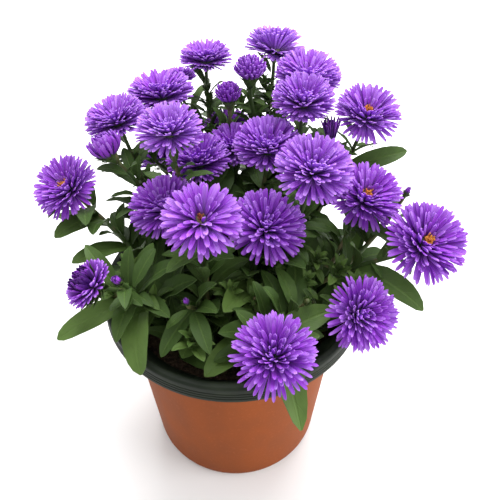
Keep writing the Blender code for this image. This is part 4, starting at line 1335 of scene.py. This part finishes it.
def stem_paths(stem):
    """The path of a stem and of each of its branches, each with its first radius and its head."""
    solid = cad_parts[stem].data.vertices
    low = min(vert.co.z for vert in solid)
    feet = {tuple(vert.co) for vert in solid if vert.co.z < low + MERGE}
    sunk = sum((Vector(foot) for foot in feet), Vector()) / len(feet)
    ground = sunk + Vector((0.0, 0.0, SUNK))
    head = Head(STEMS[stem][0][0])
    end = stalk_end(head)
    lean = (Vector((0.0, 0.0, 2.0)) + (end - ground).normalized()).normalized()
    paths = [([sunk] + bezier(ground, lean, end, head.axis, 16), STEM_RADIUS, head)]
    coarse = [sunk] + bezier(ground, lean, end, head.axis, 5)
    for name, share in STEMS[stem][1:]:
        head = Head(name)
        start, way = along_path(coarse, share)
        end = stalk_end(head)
        leave = (way + (end - start).normalized() * 1.2).normalized()
        paths.append((bezier(start, leave, end, head.axis, 12), BRANCH_RADIUS, head))
    return paths


def add_stalks(work, paths):
    """Round tapered stalks along the paths, as one curve turned into mesh."""
    curve = bpy.data.curves.new("stalks", "CURVE")
    curve.dimensions = "3D"
    curve.bevel_depth = MM
    curve.bevel_resolution = 2
    curve.use_fill_caps = True
    for points, radius, _ in paths:
        spline = curve.splines.new("POLY")
        spline.points.add(len(points) - 1)
        for number, point in enumerate(points):
            share = number / (len(points) - 1)
            spline.points[number].co = (*point, 1.0)
            spline.points[number].radius = (radius + (NECK_RADIUS - radius) * share) / MM
    item = placed("stalks", curve)
    graph = bpy.context.evaluated_depsgraph_get()
    mesh = bpy.data.meshes.new_from_object(item.evaluated_get(graph))
    first_face = len(work.faces)
    work.from_mesh(mesh)
    paint(work, first_face, STALK_FINISH)
    bpy.data.objects.remove(item, do_unlink=True)
    bpy.data.curves.remove(curve)
    bpy.data.meshes.remove(mesh)


# Leaves
def leaf_template(name, arch, shape, fullness):
    """A lance-shaped blade of length 1 and width 1, with a fold, an arch and a waved edge.

    A smaller fullness makes it more oval, with a blunter tip.
    """
    droop, wave, twist, power = shape
    work = new_sheet(9, 4)
    for vert in work.verts:
        share = gathered(vert.co.x)
        across = vert.co.y * 2.0
        spread = max(math.sin(math.pi * min(share, 0.999) ** power), 0.0) ** fullness
        spread = max(spread, 0.16 * (1.0 - share))
        rise = arch * 4.0 * share * (1.0 - share) - droop * share ** 3
        turn = twist * share
        side = across * spread / 2
        fold = 0.05 * abs(across) * spread
        ripple = wave * math.sin(share * 17.0 + across) * abs(across) * spread
        vert.co = Vector((share, side * math.cos(turn), rise + fold + ripple + side * 0.3 * math.sin(turn)))
    return finished_blade(name, work, bpy.context.scene.aster_leaves.thickness, is_leaf=True)


def leaf_kit():
    """A few leaf shapes for each strength of arch, and one oval shape for each."""
    kit = {kind: [leaf_template(f"leaf_{kind}_{number}", arch, shape, LANCE_FULLNESS)
                  for number, shape in enumerate(LEAF_SHAPES)] for kind, arch in ARCHES.items()}
    for kind, arch in OVAL_ARCHES.items():
        kit[kind] = [leaf_template(f"leaf_{kind}", arch, OVAL_SHAPE, OVAL_FULLNESS)]
    return kit


def blade_matrix(root, tip, width, face):
    """From a unit blade to one between two points, with its upper side towards a way."""
    run = tip - root
    way = run.normalized()
    side = face.cross(way).normalized()
    above = way.cross(side)
    turn = Matrix((way * run.length, side * width, above * run.length)).transposed().to_4x4()
    return Matrix.Translation(root) @ turn


def leaves_of_solid(stem):
    """Root, tip, width and face of each small leaf of a stem's solid, read back from its tip.

    A tip meets three corners: the two edges of the blade and the point under its middle. How
    wide the blade is there against how far the tip is says which of two outlines it has.
    """
    work = bmesh.new()
    work.from_mesh(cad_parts[stem].data)
    bmesh.ops.remove_doubles(work, verts=work.verts, dist=MERGE)
    leaves = []
    for tip in work.verts:
        corners = [edge.other_vert(tip).co.copy() for edge in tip.link_edges]
        if len(corners) != 3 or min((corner - tip.co).length for corner in corners) < LEAST_EDGE:
            continue
        under = min(corners, key=lambda corner: sum((corner - other).length for other in corners))
        left, right = [corner for corner in corners if corner is not under]
        middle = (left + right) / 2
        span = tip.co - middle
        wide = (left - right).length
        station, part = SHORT_OUTLINE if wide / span.length > SHORT_RATIO else LONG_OUTLINE
        face = (left - middle).cross(span).normalized()
        if face.dot(middle - under) < 0.0:
            face = -face
        fall = math.atan(TIP_FALL * station)
        way = span.normalized() * math.cos(fall) + face * math.sin(fall)
        length = span.length * math.cos(fall) / (1.0 - station)
        leaves.append((tip.co - way * length, tip.co.copy(), wide / part, face))
    work.free()
    return sorted(leaves, key=lambda leaf: tuple(leaf[1]))


class Crowd:
    """What stands so far, to keep added leaves clear of it."""

    def __init__(self):
        self.solid = []
        self.leaves = []
        for name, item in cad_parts.items():
            if name.startswith(("bloom", "half_bloom", "pot")):
                points, faces = moved(item.data, Matrix())
                self.solid.append((box_of(points), BVHTree.FromPolygons(points, faces)))

    def add_leaf(self, work, template, matrix, tone):
        """Add a leaf to a piece and to the crowd."""
        points, faces = moved(template, matrix)
        self.leaves.append((box_of(points), BVHTree.FromPolygons(points, faces)))
        add_copy(work, template, matrix, tone)

    def is_clear(self, template, matrix, allowed):
        """True if a leaf meets nothing solid, and other leaves in no more than a few faces."""
        points, faces = moved(template, matrix)
        low, high = box_of(points)
        tree = BVHTree.FromPolygons(points, faces)
        met = 0
        for kept, limit in ((self.solid, 0), (self.leaves, allowed)):
            for (other_low, other_high), other in kept:
                if any(low[row] > other_high[row] or high[row] < other_low[row] for row in range(3)):
                    continue
                met += len(tree.overlap(other))
                if met > limit:
                    return False
        return True


def moved(mesh, matrix):
    """The points of a mesh where a matrix takes them, and its faces."""
    return [matrix @ vert.co for vert in mesh.vertices], [tuple(face.vertices) for face in mesh.polygons]


def box_of(points):
    return [[end(point[row] for point in points) for row in range(3)] for end in (min, max)]


def solid_leaves(work, stem, stalk, kit, crowd, heads):
    """The leaves that the stem's solid has, at their places there."""
    draw = random.Random(stem + " leaves")
    for root, tip, width, face in leaves_of_solid(stem):
        template = draw.choice(kit["flat"])
        share = clear_length(root, tip, heads)
        matrix = blade_matrix(root, root + (tip - root) * share, width * LEAF_WIDER * share, face)
        # Painted shade: leaves that end high up, under the heads, are painted darker than low ones.
        light = SHADED_HIGH_TONE if tip.z > SHADED_ABOVE else LOW_UNSHADED_TONE
        crowd.add_leaf(work, template, matrix, draw.random() * light)
    for owner, share, tip, width, face, rise, tone in LARGE_LEAVES:
        if owner != stem:
            continue
        root = along_path(stalk, share)[0]
        end = Vector(tip) * MM
        arch = rise * MM / (end - root).length
        kind = "oval_bowed" if arch > BOWED_FROM else "oval_arched" if arch > ARCHED_FROM else "oval_flat"
        matrix = blade_matrix(root, end, width * MM * LARGE_LEAF_WIDER, Vector(face))
        # The tone of each large leaf is painted light or shade: light in front, dark behind.
        crowd.add_leaf(work, kit[kind][0], matrix, tone)


def added_leaves(work, stem, path, kit, crowd, heads, first):
    """More leaves in a spiral up one stalk, where there is room for them."""
    looks = bpy.context.scene.aster_leaves
    draw = random.Random(f"{stem} {len(path)} {path[-1].x:.4f}")
    total = path_length(path)
    travelled = first
    turn = draw.uniform(0.0, math.tau)
    while travelled < total - BARE_BRANCH:
        root, way = along_path(path, travelled / total)
        high = clamped((root.z - SOIL_BOX[1][2]) / TALL)
        length = looks.low_length + (looks.high_length - looks.low_length) * high
        length *= draw.uniform(*LEAF_LENGTHS)
        template = draw.choice(kit["flat"] + kit["arched"])
        try_leaf(work, root, way, length, turn, template, crowd, heads, draw)
        turn += GOLDEN_ANGLE
        travelled += looks.spacing


def ground_leaves(work, stem, foot, kit, crowd):
    """Leaves that come out of the soil round a stem's foot and lean out over it."""
    draw = random.Random(stem + " ground")
    outward = math.atan2(foot.y, foot.x)
    for _ in range(GROUND_LEAVES):
        angle = outward + draw.uniform(*GROUND_TURNS)
        away = draw.uniform(*GROUND_AWAY)
        root = foot + outwards(angle) * away - Vector((0.0, 0.0, GROUND_DEPTH))
        if math.hypot(root.x, root.y) > GROUND_REACH:
            continue
        length = draw.uniform(*GROUND_LENGTHS)
        template = draw.choice(kit["arched"] + kit["bowed"])
        lean = Vector((math.cos(angle), math.sin(angle), draw.uniform(*GROUND_RISES))).normalized()
        try_leaf(work, root, lean, length, angle, template, crowd, [], draw)


def off_stalk(way, turn, rise):
    """Straight out from a stalk at a turn round it, and the same raised by an angle."""
    side = way.orthogonal().normalized()
    out = side * math.cos(turn) + way.cross(side) * math.sin(turn)
    return out, out * math.cos(rise) + way * math.sin(rise)


def try_leaf(work, root, way, length, turn, template, crowd, heads, draw):
    """Add one leaf, turned or shortened until it fits, or leave it out."""
    slimness = bpy.context.scene.aster_leaves.slimness
    climb = draw.uniform(*CLIMBS)
    tone = draw.random() * ADDED_LIGHT
    for swing, lift, size in TRIES:
        out, reach = off_stalk(way, turn + math.radians(swing), math.radians(climb + lift))
        start = root + out * OFF_STALK
        tip = start + reach * (length * size)
        if leans_out(tip) or covers_head(tip, heads) or fills_opening(start, tip):
            continue
        face = Vector((0.0, 0.0, 1.2)) - out * 0.5 + way * 0.4
        matrix = blade_matrix(start, tip, length * size * slimness, face)
        if crowd.is_clear(template, matrix, CROSSED_FACES):
            crowd.add_leaf(work, template, matrix, tone)
            return


def leans_out(tip):
    """True where an added leaf would hang over the rim or stand out of the plant's outline."""
    reach = math.hypot(tip.x, tip.y)
    inside = FRONT_RIGHT_INSIDE if tip.x > 0.0 else FRONT_LEFT_INSIDE
    if tip.z > FREE_HEIGHT:
        return False
    if tip.y < FRONT and reach > RIM_RADIUS - inside and tip.z < RIM_TOP + FRONT_ABOVE_RIM:
        return True
    is_low = tip.z < RIM_TOP + LOW_ABOVE_RIM
    return reach > RIM_RADIUS + PAST_RIM or (is_low and reach > RIM_RADIUS - LOW_INSIDE_RIM)


def covers_head(tip, heads):
    """True where a leaf's tip would stand among or before the petals of a head."""
    for head in heads:
        high, out = head.split(tip)
        if -UNDER_HEAD < high < head.half and out < head.half * ROUND_HEAD:
            return True
    return False


def fills_opening(root, tip):
    """True where a leaf would stand in a place between the stalks that stays open."""
    for share in (0.5, 0.75, 1.0):
        point = root + (tip - root) * share
        for first, last, radius in OPENINGS:
            near, part = geometry.intersect_point_line(point, Vector(first) * MM, Vector(last) * MM)
            if -0.1 < part < 1.1 and (point - near).length < radius * MM:
                return True
    return False


def clear_length(root, tip, heads):
    """The share of a leaf's length that keeps its tip clear of the heads, less high up."""
    length = (tip - root).length
    longest = HIGH_SHARE if tip.z > HIGH_TIP else LONG_SHARE if length > LONG_LEAF else 1.0
    if tip.y < FRONT and tip.z > FRONT_TIP and length > FRONT_LEAF:
        longest = FRONT_SHARE
    if tip.z < LOW_TIP and math.hypot(tip.x, tip.y) > RIM_RADIUS:
        longest = LOW_SHARE
    for share in SHORTENED:
        end = root + (tip - root) * share * longest
        if not covers_head(end, heads) and not fills_opening(root, end):
            return share * longest
    return LEAST_SHARE


def bract_template():
    """A small pointed green scale."""
    work = new_sheet(4, 2)
    for vert in work.verts:
        share = vert.co.x + 0.5
        across = vert.co.y * 2.0
        spread = 1.0 - 0.92 * share ** 1.6
        rise = 0.10 * across * across * spread + 0.25 * share * share
        vert.co = Vector((share, across * spread / 2, rise))
    return finished_blade("bract", work, 0.05, is_leaf=True)


def add_green_cup(work, kind, stand, scale, draw):
    """The smooth green body under a head or round a bud, and the rings of scales on it."""
    cup = spun(BODIES.get(kind, HEAD_BODY), 14)
    cup.loops.layers.uv.new("blade")
    cup.verts.layers.float.new("tone")
    mesh = shape_of(cup, "cup")
    add_copy(work, mesh, stand, 0.3, STALK_FINISH)
    bpy.data.meshes.remove(mesh)
    for count, out, height, rise, length, width in SCALES.get(kind, HEAD_SCALES):
        for number in range(count):
            turn = math.tau * (number + draw.uniform(*SCALE_TURNS)) / count
            lean = Matrix.Rotation(-math.radians(rise + draw.uniform(*SCALE_RISES)), 4, "Y")
            place = stand @ rooted(turn, out, height) @ lean @ stretched(length, width, length * 0.5)
            add_copy(work, scale, place, draw.uniform(*SCALE_LIGHTS))


def nearest_stalk(place, routes):
    """The stem that passes nearest below a place, and the point and way there."""
    found = []
    for stem, paths in routes.items():
        points = paths[0][0]
        for before, after in zip(points[1:], points[2:]):
            if before.z < place.z - SHOOT_CLIMB:
                found.append(((place - before).length, stem, before, (after - before).normalized()))
    return min(found, key=lambda item: item[:2])[1:]


def add_shoot(work, place, start, way, longest, bud, kit, scale, crowd, draw):
    """A short side shoot with a rosette of young leaves and often a small bud."""
    up = (Vector((0.0, 0.0, 1.4)) + way).normalized()
    points = bezier(start, (way + (place - start).normalized()).normalized(), place, up, 8)
    # Painted light and shade: small rosettes in front are lighter, the rest are painted darker.
    young = YOUNG_LIT_TONE if longest < SMALL_ROSETTE and place.y < 0.0 else SHADED_LIGHT
    turn = draw.uniform(0.0, math.tau)
    for number in range(SHOOT_LEAVES):
        share = number / (SHOOT_LEAVES - 1)
        rise = math.radians(ROSETTE_RISE + ROSETTE_RISE_SPAN * share + draw.uniform(*ROSETTE_RISES))
        out, reach = off_stalk(up, turn, rise)
        length = longest * MM * (1.0 - ROSETTE_SHORTER * share) * draw.uniform(*ROSETTE_LENGTHS)
        root = place - up * (ROSETTE_DEPTH * (1.0 - share)) + out * ROSETTE_OUT
        template = draw.choice(kit["arched"])
        face = up * 1.2 - out * 0.6
        matrix = blade_matrix(root, root + reach * length, length * ROSETTE_SLIMNESS, face)
        if crowd.is_clear(template, matrix, CROSSED_YOUNG):
            crowd.add_leaf(work, template, matrix, young + LIGHT_SPAN * draw.random())
        turn += GOLDEN_ANGLE
    if bud:
        stand = Matrix.Translation(place) @ up.to_track_quat("Z", "Y").to_matrix().to_4x4()
        add_green_cup(work, "bud", stand @ Matrix.Scale(bud * MM / 2, 4), scale, draw)
    add_stalks(work, [(points, NECK_RADIUS, None)])


def make_foliage():
    """Each bunch's stalks, leaves and sepals."""
    kit = leaf_kit()
    scale = bract_template()
    crowd = Crowd()
    routes = {stem: stem_paths(stem) for stem in STEMS}
    heads = [Head(name) for name in HEADS]
    works = {bunch: new_work() for bunch in BUNCHES}
    for bunch, stems in BUNCHES.items():
        for stem in stems:
            solid_leaves(works[bunch], stem, routes[stem][0][0], kit, crowd, heads)
    for number, (x, y, z, longest, bud) in enumerate(SHOOTS):
        place = Vector((x, y, z)) * MM
        stem, start, way = nearest_stalk(place, routes)
        bunch = next(name for name, stems in BUNCHES.items() if stem in stems)
        draw = random.Random(f"shoot {number}")
        add_shoot(works[bunch], place, start, way, longest, bud, kit, scale, crowd, draw)
    for bunch, stems in BUNCHES.items():
        work = works[bunch]
        for stem in stems:
            ground_leaves(work, stem, routes[stem][0][0][1], kit, crowd)
            for number, (points, _, head) in enumerate(routes[stem]):
                added_leaves(work, stem, points, kit, crowd, heads, BARE_BRANCH if number else BARE_STEM)
                add_green_cup(work, head.kind, head.stand, scale, random.Random(head.name + " sepals"))
            add_stalks(work, routes[stem])
        show(f"foliage_{bunch}", work, ["leaf", "underside", "stalk"], stems, 70.0)


# Stage
def make_stage():
    """A pale floor, soft light from above and the camera at the photo's angle."""
    looks = bpy.context.scene.aster_stage
    scene = bpy.context.scene
    work = bmesh.new()
    bmesh.ops.create_grid(work, x_segments=1, y_segments=1, size=4.0)
    floor = placed("floor", shape_of(work, "floor"))
    floor.data.materials.append(finish_named("floor"))
    scene.world = bpy.data.worlds.new("studio")
    scene.world.use_nodes = True
    background = scene.world.node_tree.nodes["Background"]
    background.inputs["Color"].default_value = (1.0, 1.0, 1.0, 1.0)
    background.inputs["Strength"].default_value = SKY_STRENGTH
    for name, (place, size, power) in LIGHTS.items():
        add_light(name, place, size, power)
    camera = bpy.data.cameras.new("camera")
    camera.lens = looks.lens
    camera.sensor_width = 36.0
    camera.clip_start = 0.01
    view = placed("camera", camera)
    view.location = CAMERA_PLACE
    view.rotation_euler = (math.pi / 2 - looks.camera_pitch, 0.0, -looks.camera_yaw)
    scene.camera = view
    scene.view_settings.view_transform = "Standard"


def add_light(name, place, size, power):
    """A square soft light that looks at the plant."""
    light = bpy.data.lights.new(name, "AREA")
    light.size = size
    light.energy = power
    item = placed(name, light)
    item.location = place
    aim = Vector(LIGHT_AIM) - Vector(place)
    item.rotation_euler = aim.to_track_quat("-Z", "Y").to_euler()


class ASTER_OT_pot(bpy.types.Operator):
    """Make both layers of the pot."""

    bl_idname = "aster.pot"
    bl_label = "Pot"

    def execute(self, context):
        make_pot()
        make_lining()
        return {"FINISHED"}


class ASTER_OT_soil(bpy.types.Operator):
    """Make the soil."""

    bl_idname = "aster.soil"
    bl_label = "Soil"

    def execute(self, context):
        make_soil()
        return {"FINISHED"}


class ASTER_OT_blooms(bpy.types.Operator):
    """Make the petals of all heads and buds."""

    bl_idname = "aster.blooms"
    bl_label = "Blooms"

    def execute(self, context):
        make_blooms()
        return {"FINISHED"}


class ASTER_OT_eyes(bpy.types.Operator):
    """Make the golden eyes of the open heads."""

    bl_idname = "aster.eyes"
    bl_label = "Eyes"

    def execute(self, context):
        make_eyes()
        return {"FINISHED"}


class ASTER_OT_foliage(bpy.types.Operator):
    """Make the stalks, leaves and sepals."""

    bl_idname = "aster.foliage"
    bl_label = "Foliage"

    def execute(self, context):
        make_foliage()
        return {"FINISHED"}


class ASTER_OT_stage(bpy.types.Operator):
    """Make the floor, the lights and the camera."""

    bl_idname = "aster.stage"
    bl_label = "Stage"

    def execute(self, context):
        make_stage()
        return {"FINISHED"}


STEPS = (ASTER_OT_stage, ASTER_OT_pot, ASTER_OT_soil, ASTER_OT_blooms, ASTER_OT_eyes,
         ASTER_OT_foliage)


class ASTER_PT_panel(bpy.types.Panel):
    """Lists the steps that build the plant."""

    bl_label = "Potted Aster"
    bl_space_type = "VIEW_3D"
    bl_region_type = "UI"
    bl_category = "Aster"

    def draw(self, context):
        for step in STEPS:
            self.layout.operator(step.bl_idname)


GROUPS = {"aster_pot": AsterPot, "aster_heads": AsterHeads, "aster_leaves": AsterLeaves,
          "aster_stage": AsterStage}


def register():
    for name, group in GROUPS.items():
        bpy.utils.register_class(group)
        setattr(bpy.types.Scene, name, PointerProperty(type=group))
    for item in (*STEPS, ASTER_PT_panel):
        bpy.utils.register_class(item)


def unregister():
    for item in (ASTER_PT_panel, *reversed(STEPS)):
        bpy.utils.unregister_class(item)
    for name, group in GROUPS.items():
        delattr(bpy.types.Scene, name)
        bpy.utils.unregister_class(group)


def main():
    register()
    for step in STEPS:
        group, action = step.bl_idname.split(".")
        getattr(getattr(bpy.ops, group), action)()


if __name__ == "__main__":
    main()
